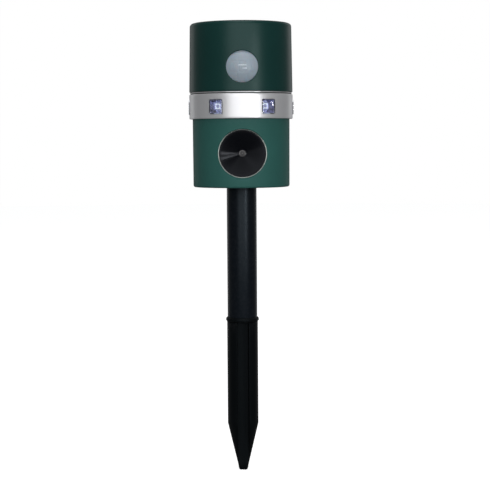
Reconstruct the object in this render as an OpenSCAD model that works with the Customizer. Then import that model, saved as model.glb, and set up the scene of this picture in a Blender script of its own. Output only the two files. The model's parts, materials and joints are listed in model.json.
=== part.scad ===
// Solar animal repeller on a pole: a round head with a motion lens, a band of
// flash windows, a housing with an ultrasonic speaker, a pole and a stake.
// Millimetres. +Z is up and the front faces -Y. The origin is on the axis at
// ground level, under the stake's collar.

/* [Heights] */
// Ground level to the tip of the stake
stake_len = 127.1; // [100:0.1:180]
// Length of the stake's pointed end
point_len = 40.6; // [30:0.1:60]
// Height of the stake's collar
collar_h = 3.9; // [3:0.1:6]
// Pole that shows between the collar and the housing
pole_show = 110.1; // [60:0.1:300]
// Height of the speaker housing
housing_h = 56.5; // [56:0.1:70]
// Height of the band of flash windows
band_h = 20.4; // [19:0.1:26]
// Height of the recessed neck over the band
neck_h = 1.8; // [1:0.1:3]
// Height of the head shell
head_h = 56.7; // [54:0.1:70]

/* [Round sections] */
// Radius of the speaker housing at its top
body_r = 40.5; // [40:0.1:52]
// How far the housing narrows towards its underside
body_draft = 0.2; // [0:0.1:1]
// How far the band stands out past the housing
band_lip = 2.65; // [2:0.05:4]
// How far the neck is set in from the band
neck_inset = 0.55; // [0.3:0.05:1]
// How far the head stands out past the housing
head_lip = 2.6; // [2:0.05:4]
// How far the head narrows towards its top
head_draft = 0.8; // [0:0.1:1.5]
// Rounding of the head's top edge
head_round = 3.8; // [2:0.1:5]
// Radius of the pole
pole_r = 12.5; // [9:0.1:15]
// Radius of the stake's straight part
stake_r = 13; // [11:0.1:15]
// How far the collar stands out past the stake
collar_lip = 0.85; // [0.5:0.05:2]

/* [Walls] */
// Wall of the head and the housing
wall = 2.6; // [2:0.1:3]
// Floor of the housing
floor_t = 3; // [2:0.1:4]
// Wall of the band
band_wall = 2.4; // [2:0.1:2.8]
// Wall of the pole
pole_wall = 1.5; // [1:0.1:2.5]
// Width of the grooves down the front and back of the stake
groove_w = 10; // [6:0.1:12]
// Thickness of the web between the stake's two grooves
web_t = 7; // [4:0.1:9]

/* [Motion lens] */
// Radius of the lens
lens_r = 12.85; // [9:0.05:15]
// Height of the lens centre over the head's lower edge
lens_up = 19.5; // [18:0.1:24]
// How far the lens bulges past its rim
lens_bulge = 4.3; // [3:0.1:6]
// Wall of the lens
lens_t = 0.8; // [0.6:0.1:1.2]

/* [Flash windows] */
// Side of each square window
window_w = 11.9; // [9:0.1:12.5]
// How far a window stands out past the band
window_proud = 0.5; // [0.2:0.05:1]
// Height of the window centres over the band's lower edge
window_up = 9.65; // [9:0.05:12]
// Side of the square flash package
led_w = 5; // [3:0.1:5.5]

/* [Speaker] */
// Radius of the speaker's visible face
speaker_r = 19.65; // [15:0.05:20]
// Height of the speaker centre over the housing's underside
speaker_up = 28; // [27.5:0.1:30]
// Depth of the cone
cone_depth = 4.5; // [3:0.1:6]
// Radius of the cone's centre cap
cap_r = 2.8; // [2:0.1:4]

/* [Rear controls] */
// Radius of the mode dial
dial_r = 9; // [7:0.1:10]
// Height of the dial centre over the housing's underside
dial_up = 37; // [36:0.1:39]
// Radius of the power button
button_r = 4; // [3:0.1:4.5]
// Travel of the power button
button_travel = 1.2; // [0.6:0.1:1.5]
// Width of the charging port's flap
flap_w = 14; // [13:0.1:14.5]
// Height of the button and port centres over the underside
port_up = 14.5; // [14:0.1:15.5]

/* [Power] */
// Radius of the rechargeable cell
cell_r = 9.2; // [7:0.1:9.5]
// Length of the rechargeable cell
cell_len = 65; // [50:0.1:65]
// Radius of the recess for the solar panel's cover
solar_r = 36.5; // [34:0.1:37]
// Side of the solar panel
panel_w = 50; // [40:0.1:50]

/* [Fits] */
// Radial clearance where the housing turns on the pole
swivel_fit = 0.06; // [0.02:0.01:0.1]
// Clearance of pieces that are pushed or set into each other
push_fit = 0.05; // [0.02:0.01:0.1]
// Clearance between pieces that move past each other
free_gap = 0.3; // [0.3:0.05:0.5]

/* [Hidden] */

fn = 96;
overlap = 1;

green_dark = [0.05, 0.13, 0.11];
green_light = [0.12, 0.24, 0.22];
silver = [0.74, 0.75, 0.77];
black = [0.05, 0.05, 0.06];
steel = [0.6, 0.6, 0.62];
clear = [0.75, 0.78, 0.85];
board_green = [0.05, 0.3, 0.15];

// Heights, from the ground up
housing_z = collar_h + pole_show;
band_z = housing_z + housing_h;
neck_z = band_z + band_h;
head_z = neck_z + neck_h;
top_z = head_z + head_h;

// Outsides and insides of the round shells
band_r = body_r + band_lip;
neck_r = band_r - neck_inset;
head_r = body_r + head_lip;
head_top_r = head_r - head_draft;
body_in = body_r - wall;
head_in = head_top_r - wall;
band_in = band_r - band_wall;
base_round = 1.5;
edge_round = 0.8;

// Spigots that line the shells up, and the seals around them
lip_h = 2.4;
lip_r = body_in + wall / 2;
head_lip_h = 3.3;
head_lip_r = head_in - push_fit;
head_lip_in = head_lip_r - 1.8;
seal_w = 1.15;
seal_h = 1.15;

// Pole, its cap and the socket that turns on it
pole_in = pole_r - pole_wall;
socket_depth = 18;
pole_top = housing_z + socket_depth;
cap_flange = 2;
socket_roof = 2.2;
socket_wall = 2.8;
spigot_len = 24;

// Four long screws hold the three shells together
post_ring = body_r - 9;
post_angles = [60, 120, 240, 300];
tube_r = 4.4;
post_r = 3.4;
long_shank_r = 1.5;
long_head_r = 2.9;
long_head_h = 1.8;
long_len = 26;
screw_seat = housing_z + 46;

// Small screws: speaker, sensor, cell cradle and control board
small_shank_r = 1.2;
small_head_r = 2.3;
small_head_h = 1.5;
small_len = 6;
small_post_r = 2.7;

// Main board, on the housing's screw tubes
board_t = 1.6;
board_z = band_z + 0.5;
board_top = board_z + board_t;
board_r = body_in - 1.6;

// Flash windows, all round the band
window_z = band_z + window_up;
window_face = band_r + window_proud;
window_t = 1;
window_angles = [30, 90, 150, 210, 270, 330];
flange_t = 1;
flange_w = window_w + 1.6;
reflector_w = window_w - 1.1;
carrier_r = board_r - 1.5;
carrier_t = 1;
package_t = 1.6;

// Motion lens and what is behind it
lens_z = head_z + lens_up;
lens_rim_y = sqrt(pow(head_top_r, 2) - pow(lens_r, 2)) + 0.6;
lens_ball_r = (pow(lens_r, 2) + pow(lens_bulge, 2)) / (2 * lens_bulge);
lens_flange_r = lens_r + 1.6;
lens_flange_y = sqrt(pow(head_in, 2) - pow(lens_flange_r, 2)) - 0.4;
lens_flange_t = 1.2;
shroud_len = 10;
shroud_wall = 1.8;
sensor_y = lens_flange_y - lens_flange_t - shroud_len;
ear_x = lens_r + 6.7;
ear_y = lens_flange_y - lens_flange_t - 6;

// Speaker, in its round seat
speaker_z = housing_z + speaker_up;
speaker_bore = speaker_r + 0.4;
collar_out = speaker_bore - 0.15;
speaker_collar_in = speaker_r - 0.75;
flange_out = speaker_r + 3.35;
seat_y = sqrt(pow(body_in, 2) - pow(flange_out, 2)) - 1.1;
gasket_t = 1;
speaker_flange_t = 1.5;
rim_y = sqrt(pow(body_r, 2) - pow(speaker_r, 2)) + 0.9;
rim_t = 1;
can_len = 5.5;
clamp_t = 1.5;
clamp_ring = speaker_r + 6.85;
clamp_y = seat_y - gasket_t - speaker_flange_t;

// Flat panel at the back, with the controls
panel_y = body_r - 3.5;
panel_t = 4.5;
panel_half = 17;
panel_in = panel_y - panel_t;
flat_low = housing_z + 5;
flat_high = band_z - 6;
control_y = panel_in - 10.5;
control_half = 14;
control_low = housing_z + 7.5;
control_high = housing_z + 46;
dial_z = housing_z + dial_up;
port_z = housing_z + port_up;
dial_h = 5;
shaft_r = 3;
switch_w = 12;
switch_t = 7;
button_x = -9;
port_x = 5.8;
key_w = 6;
key_t = 3.5;
key_bore = 1.8;
stem_r = 1.4;
flap_h = 9.6;
flap_t = 1.8;
recess_t = flap_t + 0.6;
pin_r = 0.8;
pin_len = 1;
pin_y = panel_y - free_gap - flap_t / 2;
pin_z = port_z + flap_h / 2 - flap_t / 2;
port_w = 11.4;
port_h = 6.8;
shell_w = 9;
shell_h = 3.3;
shell_len = 6.6;

// Solar panel, in the top
solar_depth = 3.4;
solar_floor = top_z - solar_depth;
roof_t = 2.4;
roof_z = solar_floor - roof_t;
cover_t = 1;
panel_board_t = 2;
gasket_w = 1.6;

// Cell and cradle, under the roof
cell_y = 8;
boss_h = 4;
cradle_t = 2;
cradle_top = roof_z - boss_h;
cell_z = cradle_top - cradle_t - small_head_h - cell_r - 0.5;
cradle_screw_x = 14;
cradle_wall = 1.5;
cradle_half = 7.6;
contact_t = 0.5;
contact_w = 11;
contact_room = 1.6;

// Leads inside the housing
lead_r = 0.9;
lead_sides = 8;
solar_route = [
    [0, 22, solar_floor], [0, 22, roof_z - 4], [0, 28, roof_z - 14],
    [0, 31, head_z + 16], [0, 30, head_z - 2], [0, 19, board_top + 8], [0, 19, board_top]
];
battery_route = [
    [cell_len / 2 + contact_room - contact_t / 2, cell_y, cell_z - contact_w / 2],
    [cell_len / 2 + contact_room - contact_t / 2, cell_y, cell_z - contact_w / 2 - 4],
    [28, 3, head_z + 13], [20, -4, head_z + 4], [15, -8, board_top + 6], [15, -8, board_top]
];
speaker_route = [
    [6, -(clamp_y - can_len), speaker_z + 6], [6, -(clamp_y - can_len - 1.2), speaker_z + 6],
    [6, -(clamp_y - can_len - 2.5), speaker_z + 6],
    [7, -11, speaker_z + 16], [8, -11, board_z - 6], [8, -11, board_z]
];
pir_route = [
    [-5, -(sensor_y - board_t), lens_z - 8], [-5, -(sensor_y - board_t - 1.2), lens_z - 8],
    [-5, -(sensor_y - board_t - 3), lens_z - 8],
    [-7, -14, head_z + 2], [-8, -12, board_top + 6], [-8, -12, board_top]
];

// Points of an arc about c, from angle a0 to a1
function arc(c, r, a0, a1, n = 8) =
    [for (i = [0 : n]) c + r * [cos(a0 + (a1 - a0) * i / n), sin(a0 + (a1 - a0) * i / n)]];

// Catmull-Rom curve through the points of a route
function curve_point(a, b, c, d, t) =
    (b * 2 + (c - a) * t + (a * 2 - b * 5 + c * 4 - d) * t * t + (b * 3 - a - c * 3 + d) * t * t * t) / 2;

function smooth(p, steps = 5) = concat(
    [for (i = [0 : len(p) - 2], k = [0 : steps - 1])
        curve_point(p[max(i - 1, 0)], p[i], p[i + 1], p[min(i + 2, len(p) - 1)], k / steps)],
    [p[len(p) - 1]]
);

function unit(v) = v / norm(v);

// Direction of path p at point i; both ends leave square, along the route's first and last legs
function direction(p, i, route) =
    i == 0 ? unit(route[1] - route[0]) :
    i == len(p) - 1 ? unit(route[len(route) - 1] - route[len(route) - 2]) :
    unit(p[i + 1] - p[i - 1]);

function ring_of(c, d, r) =
    let (side = unit(cross(d, [1, 0.03, 0.05])), up = cross(d, side))
    [for (k = [0 : lead_sides - 1])
        c + r * (cos(360 * k / lead_sides) * side + sin(360 * k / lead_sides) * up)];

// A lead: one closed tube along a route
module lead(route) {
    p = smooth(route);
    n = lead_sides;
    last = (len(p) - 1) * n;
    rings = [for (i = [0 : len(p) - 1]) each ring_of(p[i], direction(p, i, route), lead_r)];
    sides = [for (i = [0 : len(p) - 2], k = [0 : n - 1])
        [i * n + k, (i + 1) * n + k, (i + 1) * n + (k + 1) % n, i * n + (k + 1) % n]];
    near_end = [for (k = [0 : n - 1]) k];
    far_end = [for (k = [n - 1 : -1 : 0]) last + k];
    polyhedron(rings, concat([near_end], sides, [far_end]));
}

module disc(r, z, h) {
    translate([0, 0, z]) cylinder(r = r, h = h, $fn = fn);
}

module ring(r_out, r_in, z, h) {
    difference() {
        disc(r_out, z, h);
        disc(r_in, z - overlap, h + 2 * overlap);
    }
}

// A block with its centre at [x, z] seen from the front, between two depths along Y
module block(x, z, w, h, y0, y1) {
    translate([x - w / 2, min(y0, y1), z - h / 2]) cube([w, abs(y1 - y0), h]);
}

// Round bar along Y, centred at [x, z], between two depths
module bar_y(x, z, r, y0, y1) {
    translate([x, max(y0, y1), z]) rotate([90, 0, 0]) cylinder(r = r, h = abs(y1 - y0), $fn = fn);
}

// Turns a piece at the front to an angle round the axis
module turned(angle) {
    rotate([0, 0, angle]) children();
}

module at_posts(angles = post_angles) {
    for (a = angles) turned(a) translate([0, -post_ring, 0]) children();
}

// Places, on the front wall, of the four speaker clamp screws
module at_clamp_screws() {
    for (a = [45, 135, 225, 315])
        translate([clamp_ring * cos(a), -clamp_y, speaker_z + clamp_ring * sin(a)]) children();
}

module along_back() {
    rotate([-90, 0, 0]) children();
}

module along_front() {
    rotate([90, 0, 0]) children();
}

// Pan-head screw: its head's underside at z = 0, its shank down to -len
module screw(shank_r, len, head_r, head_h) {
    difference() {
        union() {
            translate([0, 0, -len]) cylinder(r = shank_r, h = len, $fn = fn);
            cylinder(r = head_r, h = head_h, $fn = fn);
        }
        for (a = [0, 90])
            rotate([0, 0, a]) translate([-head_r * 0.6, -0.3, head_h - 0.7])
                cube([head_r * 1.2, 0.6, 1]);
    }
}

// ---- Stake and pole ----

module stake() {
    collar_r = stake_r + collar_lip;
    tip_r = 4.3;
    tip_len = 4.1;
    color(black) difference() {
        union() {
            rotate_extrude($fn = fn) polygon([
                [0, -stake_len], [2.8, -stake_len], [3.9, 1.4 - stake_len], [tip_r, tip_len - stake_len],
                [stake_r, point_len - stake_len], [stake_r, overlap], [0, overlap]
            ]);
            rotate_extrude($fn = fn) polygon(concat(
                [[0, 0]],
                arc([collar_r - 1.2, 1.2], 1.2, -90, 0),
                arc([collar_r - 1.2, collar_h - 1.2], 1.2, 0, 90),
                [[0, collar_h]]
            ));
            disc(pole_in - push_fit, collar_h - overlap, spigot_len + overlap);
        }
        for (side = [-1, 1]) block(0, -stake_len / 2 - overlap / 2, groove_w, stake_len + overlap,
            side * web_t / 2, side * (stake_r + overlap));
        translate([-0.9, 0, -stake_len]) rotate([0, 45, 0]) cube([1.6, 2 * tip_r, 1.6], center = true);
        disc(pole_in - pole_wall - 1, collar_h + 2, spigot_len);
    }
}

module pole_tube() {
    color(black) ring(pole_r, pole_in, collar_h, pole_top - collar_h);
}

// Plug in the top of the pole: the housing rests and turns on its flange
module pole_cap() {
    color([0.2, 0.2, 0.2]) {
        disc(pole_in - push_fit, pole_top - 10, 10);
        disc(pole_r - 0.2, pole_top, cap_flange);
    }
}

// ---- The three shells ----

module housing_outside() {
    rotate_extrude($fn = fn) polygon(concat(
        [[0, housing_z]],
        arc([body_r - body_draft - base_round, housing_z + base_round], base_round, -90, 0),
        [[body_r, band_z], [lip_r, band_z], [lip_r, band_z + lip_h], [0, band_z + lip_h]]
    ));
}

// Material inside the housing's outline only
module inside_housing() {
    intersection() {
        disc(body_r - body_draft - 0.3, housing_z, housing_h);
        children();
    }
}

module housing_solid() {
    difference() {
        housing_outside();
        disc(body_in, housing_z + floor_t, housing_h + lip_h);
        block(0, (flat_low + flat_high) / 2, 2 * body_r, flat_high - flat_low, panel_y, body_r + overlap);
    }
    inside_housing() {
        block(0, housing_z + housing_h / 2, 2 * panel_half, housing_h - 2, panel_in, panel_y);
    }
    inside_housing() {
        bar_y(0, speaker_z, speaker_bore + 2.4, -body_r, -seat_y);
    }
    disc(pole_r + socket_wall, housing_z + floor_t - overlap,
        socket_depth + cap_flange + free_gap + socket_roof - floor_t + overlap);
    at_posts() disc(tube_r, housing_z + floor_t - overlap, board_z - housing_z - floor_t + overlap);
    at_clamp_screws() along_front() cylinder(r = small_post_r, h = 7, $fn = fn);
    for (p = control_screws()) bar_y(p.x, p.y, small_post_r, control_y + board_t, panel_in + overlap);
}

function control_screws() = [[11, control_high - 3], [-11, control_high - 3]];

module lower_housing() {
    color(green_light) difference() {
        housing_solid();
        disc(pole_r + swivel_fit, housing_z - overlap, socket_depth + cap_flange + free_gap + overlap);
        bar_y(0, speaker_z, speaker_bore, -body_r - overlap, -seat_y + overlap);
        at_posts() disc(long_head_r + 0.4, housing_z - overlap, screw_seat - housing_z + overlap);
        at_posts() disc(long_shank_r + 0.2, housing_z, board_z - housing_z + overlap);
        at_clamp_screws() along_front() cylinder(r = small_shank_r, h = small_len - clamp_t + 0.3, $fn = fn);
        for (p = control_screws()) bar_y(p.x, p.y, small_shank_r,
            control_y, control_y + small_len + 0.3);
        bar_y(0, dial_z, shaft_r + free_gap, panel_in - overlap, panel_y + overlap);
        bar_y(button_x, port_z, button_r + free_gap, panel_in - overlap, panel_y + overlap);
        block(port_x, port_z, port_w, port_h, panel_in - overlap, panel_y);
        block(port_x, port_z, flap_w + 2 * free_gap, flap_h + 2 * free_gap,
              panel_y - recess_t, panel_y + overlap);
        translate([port_x, pin_y, pin_z]) rotate([0, 90, 0])
            cylinder(r = pin_r + push_fit, h = flap_w + 2 * pin_len + 2 * free_gap, center = true, $fn = fn);
    }
}

module led_band() {
    rebate_r = lip_r + seal_w + push_fit;
    color(silver) difference() {
        rotate_extrude($fn = fn) polygon(concat(
            [[rebate_r, band_z]],
            arc([band_r - edge_round, band_z + edge_round], edge_round, -90, 0),
            arc([band_r - 0.5, neck_z - 0.5], 0.5, 0, 90),
            [[neck_r, neck_z], [neck_r, head_z], [head_lip_r, head_z], [head_lip_r, head_z + head_lip_h],
                [head_lip_in, head_z + head_lip_h], [head_lip_in, neck_z - 1.6], [band_in, neck_z - 2.6],
                [band_in, band_z + lip_h - 0.2], [lip_r + push_fit, band_z + lip_h - 0.2],
                [lip_r + push_fit, band_z + seal_h + push_fit], [rebate_r, band_z + seal_h + push_fit]]
        ));
        for (a = window_angles) turned(a)
            block(0, window_z, window_w + 2 * push_fit, window_w + 2 * push_fit,
                  -band_r - overlap, -band_in + 2);
    }
}

// Head posts hold the main board down and take the long screws
module head_posts() {
    rib_low = head_z + head_lip_h + 1;
    rib_h = 11;
    at_posts() {
        disc(post_r, board_top, rib_low + rib_h - board_top);
        block(0, rib_low + rib_h / 2, 1.6, rib_h, 0, -(head_in - post_ring + overlap));
    }
}

module head_shell() {
    color(green_dark) difference() {
        union() {
            difference() {
                rotate_extrude($fn = fn) polygon(concat(
                    [[0, head_z], [head_r - 0.3, head_z], [head_r, head_z + 0.3]],
                    arc([head_top_r - head_round, top_z - head_round], head_round, 0, 90),
                    [[0, top_z]]
                ));
                disc(head_in, head_z - overlap, roof_z - head_z + overlap);
            }
            head_posts();
            for (side = [-1, 1]) {
                bar_y(side * ear_x, lens_z, small_post_r, -ear_y, -head_in + 2.5);
                translate([side * cradle_screw_x, cell_y, cradle_top])
                    cylinder(r = small_post_r, h = boss_h + overlap, $fn = fn);
            }
        }
        disc(solar_r, solar_floor, solar_depth + overlap);
        disc(head_lip_r + seal_w, head_z - overlap, seal_h + push_fit + overlap);
        bar_y(0, lens_z, lens_r + push_fit, -head_r - overlap, -head_in + 12);
        at_posts() disc(long_shank_r, board_top - overlap, 15);
        translate([0, solar_route[0].y, roof_z - overlap])
            cylinder(r = lead_r + 0.5, h = roof_t + 2 * overlap, $fn = fn);
        for (side = [-1, 1]) {
            bar_y(side * ear_x, lens_z, small_shank_r, -ear_y + overlap, -ear_y - small_len + 1.7);
            translate([side * cradle_screw_x, cell_y, cradle_top - overlap])
                cylinder(r = small_shank_r, h = small_len - cradle_t + 0.3 + overlap, $fn = fn);
        }
    }
}

module head_seal() {
    color(black) ring(head_lip_r + seal_w - push_fit, head_lip_r + push_fit, head_z, seal_h);
}

module body_seal() {
    color(black) ring(lip_r + seal_w, lip_r + push_fit, band_z, seal_h);
}

// ---- Screws ----

module housing_screws() {
    color(steel) at_posts() translate([0, 0, screw_seat]) mirror([0, 0, 1])
        screw(long_shank_r, long_len, long_head_r, long_head_h);
}

module small_screws() {
    color(steel) {
        at_clamp_screws() translate([0, clamp_t, 0]) along_back()
            screw(small_shank_r, small_len, small_head_r, small_head_h);
        for (side = [-1, 1]) {
            translate([side * ear_x, 2 - ear_y, lens_z]) along_back()
                screw(small_shank_r, small_len, small_head_r, small_head_h);
            translate([side * cradle_screw_x, cell_y, cradle_top - cradle_t]) mirror([0, 0, 1])
                screw(small_shank_r, small_len, small_head_r, small_head_h);
        }
        for (p = control_screws()) translate([p.x, control_y, p.y]) along_front()
            screw(small_shank_r, small_len, small_head_r, small_head_h);
    }
}

// ---- Flash windows ----

module led_window(i) {
    color(clear) turned(window_angles[i]) difference() {
        union() {
            block(0, window_z, window_w, window_w, -(band_in - 0.75), -window_face);
            block(0, window_z, flange_w, flange_w, -(band_in - 0.75 - flange_t), -(band_in - 0.75));
        }
        block(0, window_z, reflector_w + 2 * push_fit, reflector_w + 2 * push_fit,
            -(band_in - 3), -(window_face - window_t));
    }
}

// Square funnel with the flash package at its throat
module led_reflector(i) {
    throat_y = carrier_r + carrier_t + package_t - 0.4;
    mouth_y = window_face - window_t - push_fit;
    throat = led_w + 0.2;
    mouth = reflector_w - 0.8;
    color(silver) turned(window_angles[i]) difference() {
        block(0, window_z, reflector_w, reflector_w, -throat_y, -mouth_y);
        translate([0, -throat_y - 0.6, window_z]) rotate([90, 0, 0])
            linear_extrude(height = mouth_y - throat_y - 0.6 + 0.01, scale = mouth / throat)
                square(throat, center = true);
        block(0, window_z, throat, throat, -throat_y + overlap, -throat_y - 0.61);
    }
}

// Square flash package on a small upright carrier that stands on the main board
module flash_led(i) {
    color([0.95, 0.93, 0.85]) turned(window_angles[i]) {
        block(0, (board_top + window_z + 5) / 2, 9.6, window_z + 5 - board_top,
              -carrier_r, -carrier_r - carrier_t);
        block(0, window_z, led_w, led_w, -carrier_r - carrier_t + 0.1, -carrier_r - carrier_t - package_t);
        bar_y(0, window_z, led_w * 0.36, -carrier_r - carrier_t, -carrier_r - carrier_t - package_t - 0.3);
    }
}

// ---- Motion sensor ----

module pir_lens() {
    ball_y = lens_rim_y + lens_bulge - lens_ball_r;
    in_r = lens_r - lens_t;
    back_y = lens_flange_y - lens_flange_t;
    outer_edge = acos(lens_r / lens_ball_r);
    inner_edge = acos(in_r / (lens_ball_r - lens_t));
    color([0.7, 0.72, 0.75]) translate([0, 0, lens_z]) rotate([90, 0, 0])
        rotate_extrude($fn = fn) polygon(concat(
            arc([0, ball_y], lens_ball_r, 90, outer_edge, 12),
            [[lens_r, lens_flange_y], [lens_flange_r, lens_flange_y]],
            [[lens_flange_r, back_y], [in_r, back_y]],
            arc([0, ball_y], lens_ball_r - lens_t, inner_edge, 90, 12)
        ));
}

// Dark tube that holds the lens in and the sensor board at its focus
module sensor_shroud() {
    front_y = lens_flange_y - lens_flange_t;
    color(black) difference() {
        union() {
            bar_y(0, lens_z, lens_r + 1.4, -sensor_y, -front_y);
            block(0, lens_z, 2 * ear_x, 2 * small_post_r, -ear_y, -ear_y + 2);
            for (side = [-1, 1]) bar_y(side * ear_x, lens_z, small_post_r, -ear_y, -ear_y + 2);
        }
        bar_y(0, lens_z, lens_r + 1.4 - shroud_wall, -sensor_y + overlap, -front_y - overlap);
        for (side = [-1, 1])
            bar_y(side * ear_x, lens_z, small_shank_r + push_fit, -ear_y - overlap, -ear_y + 3);
    }
}

module pir_board() {
    color(board_green) difference() {
        bar_y(0, lens_z, lens_r + 1.4, -(sensor_y - board_t), -sensor_y);
        for (a = [90, 210, 330])
            bar_y(2.5 * cos(a), lens_z + 2.5 * sin(a), 0.35,
                  -sensor_y - overlap, -sensor_y + board_t + overlap);
    }
}

module pir_sensor() {
    color(steel) {
        bar_y(0, lens_z, 4.6, -sensor_y - 0.2, -sensor_y - 0.8);
        bar_y(0, lens_z, 4.1, -sensor_y - 0.7, -sensor_y - 4.2);
        for (a = [90, 210, 330])
            bar_y(2.5 * cos(a), lens_z + 2.5 * sin(a), 0.3, -sensor_y - 0.3, -sensor_y + board_t + 0.6);
    }
}

// ---- Solar panel ----

module solar_cover() {
    color(clear) disc(solar_r - push_fit, solar_floor + panel_board_t, cover_t);
}

module solar_panel() {
    corner = 7;
    h = panel_w / 2;
    color([0.08, 0.1, 0.25]) translate([0, 0, solar_floor])
        linear_extrude(height = panel_board_t - 0.1) difference() {
            polygon([
                [h - corner, -h], [h, corner - h], [h, h - corner], [h - corner, h],
                [corner - h, h], [-h, h - corner], [-h, corner - h], [corner - h, -h]
            ]);
            translate([0, solar_route[0].y]) circle(r = lead_r + push_fit, $fn = fn);
        }
}

module solar_gasket() {
    color(black) ring(solar_r - push_fit, solar_r - push_fit - gasket_w, solar_floor, panel_board_t);
}

// ---- Battery ----

module battery_cell() {
    color([0.15, 0.35, 0.7]) translate([0, cell_y, cell_z]) rotate([0, 90, 0]) {
        translate([0, 0, -cell_len / 2]) cylinder(r = cell_r, h = cell_len - 1.2, $fn = fn);
        translate([0, 0, cell_len / 2 - 1.3]) cylinder(r = 2.8, h = 1.3, $fn = fn);
    }
}

// Clip under the roof: a plate, two side walls that grip the cell and two end walls
module battery_cradle() {
    inner = cell_len / 2 + contact_room;
    outer = inner + cradle_wall;
    grip_low = cell_z - 3;
    plate_low = cradle_top - cradle_t;
    color(black) difference() {
        union() {
            translate([-outer, cell_y - cradle_half, plate_low]) cube([2 * outer, 2 * cradle_half, cradle_t]);
            for (side = [-1, 1]) {
                translate([side * (inner + cradle_wall / 2), cell_y, (grip_low + plate_low + overlap) / 2])
                    cube([cradle_wall, 2 * cradle_half, plate_low + overlap - grip_low], center = true);
                for (x = [-20, 20]) translate([x, cell_y + side * (cell_r + 0.2 + cradle_wall / 2),
                    (grip_low + plate_low + overlap) / 2])
                    cube([12, cradle_wall, plate_low + overlap - grip_low], center = true);
                for (x = [-20, 20]) translate([x, cell_y + side * (cell_r + 0.2 + cradle_wall) / 2,
                    plate_low + cradle_t / 2])
                    cube([12, cell_r + 0.2 + cradle_wall, cradle_t], center = true);
            }
        }
        for (side = [-1, 1]) translate([side * cradle_screw_x, cell_y, plate_low - overlap])
            cylinder(r = small_shank_r + push_fit, h = cradle_t + 2 * overlap, $fn = fn);
    }
}

// Flat contact at the cell's button end, coiled contact at the other
module battery_contacts() {
    inner = cell_len / 2 + contact_room;
    color(steel) for (side = [-1, 1]) {
        translate([side * (inner - contact_t / 2), cell_y, cell_z])
            cube([contact_t, contact_w, contact_w], center = true);
    }
    color(steel) translate([-inner + contact_t, cell_y, cell_z]) rotate([0, 90, 0])
        for (k = [0 : 1]) rotate_extrude($fn = fn)
            translate([5 - 1.2 * k, 0.25 + 0.45 * k]) circle(r = 0.3, $fn = 16);
    color(steel) translate([inner - contact_t - 0.55, cell_y, cell_z]) rotate([0, 90, 0])
        cylinder(r = 2, h = 0.6, $fn = fn);
}

// ---- Speaker ----

module speaker_rim() {
    color(steel) difference() {
        bar_y(0, speaker_z, collar_out, -rim_y + rim_t, -rim_y);
        bar_y(0, speaker_z, collar_out - 0.95, -rim_y + rim_t + overlap, -rim_y - overlap);
    }
}

// Shallow dished cone, held under the rim and open at its centre for the cap
module speaker_cone() {
    skin = 0.5;
    face_y = rim_y - rim_t;
    edge_r = speaker_collar_in - push_fit;
    color(black) translate([0, -face_y, speaker_z]) rotate([90, 0, 0]) rotate_extrude($fn = fn) polygon([
        [cap_r, -cone_depth - skin], [cap_r, -cone_depth], [edge_r - 0.8, 0], [edge_r, 0],
        [edge_r, -skin], [edge_r - 0.7, -skin]
    ]);
}

module speaker_cap() {
    face_y = rim_y - rim_t - cone_depth;
    color(black) translate([0, -face_y, speaker_z]) rotate([90, 0, 0]) {
        rotate_extrude($fn = fn) polygon(concat(
            [[0, -0.6], [cap_r - push_fit, -0.6]],
            [[cap_r - push_fit, 0.35], [cap_r - 0.6, 0.5], [cap_r - 0.9, 0.1], [1, -0.1]],
            [[0.7, 0.3], [0, 0.4]]
        ));
    }
}

// Can with a flange: its collar comes forward through the seat to the rim
module speaker_frame() {
    back_y = clamp_y - can_len;
    color(black) difference() {
        union() {
            bar_y(0, speaker_z, collar_out, -back_y, -rim_y + rim_t);
            bar_y(0, speaker_z, flange_out, -clamp_y, -clamp_y - speaker_flange_t);
        }
        bar_y(0, speaker_z, speaker_collar_in, -back_y - 1.5, -rim_y - overlap);
        for (side = [-1, 1]) block(side * 9, speaker_z, 2, 5, -back_y + overlap, -back_y - 3);
    }
}

// Piezo disc behind the cone, on a post from the can's back
module speaker_element() {
    back_y = clamp_y - can_len + 1.5;
    disc_y = rim_y - rim_t - cone_depth - 0.65;
    color([0.85, 0.75, 0.4]) {
        bar_y(0, speaker_z, 9, -disc_y + 1, -disc_y);
        bar_y(0, speaker_z, 5, -back_y, -disc_y + 0.5);
    }
}

module speaker_gasket() {
    color(black) difference() {
        bar_y(0, speaker_z, flange_out, -seat_y + gasket_t, -seat_y);
        bar_y(0, speaker_z, speaker_bore, -seat_y + gasket_t + overlap, -seat_y - overlap);
    }
}

module speaker_clamp() {
    color(steel) difference() {
        union() {
            bar_y(0, speaker_z, flange_out + 0.6, -clamp_y + clamp_t, -clamp_y);
            at_clamp_screws() along_back() cylinder(r = small_post_r + 0.3, h = clamp_t, $fn = fn);
        }
        bar_y(0, speaker_z, speaker_bore, -clamp_y + clamp_t + overlap, -clamp_y - overlap);
        at_clamp_screws() translate([0, -overlap, 0]) along_back()
            cylinder(r = small_shank_r + push_fit, h = clamp_t + 2 * overlap, $fn = fn);
    }
}

// ---- Boards ----

module main_board() {
    color(board_green) difference() {
        disc(board_r, board_z, board_t);
        at_posts() disc(long_shank_r + 0.2, board_z - overlap, board_t + 2 * overlap);
    }
}

module driver_transformer() {
    color([0.8, 0.7, 0.2]) translate([0, 0, board_top]) {
        translate([-7, -6, 0]) cube([14, 12, 1.5]);
        translate([-5, -6, 1.4]) cube([10, 12, 7]);
        translate([-7, -3, 1.4]) cube([14, 6, 9]);
    }
}

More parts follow.
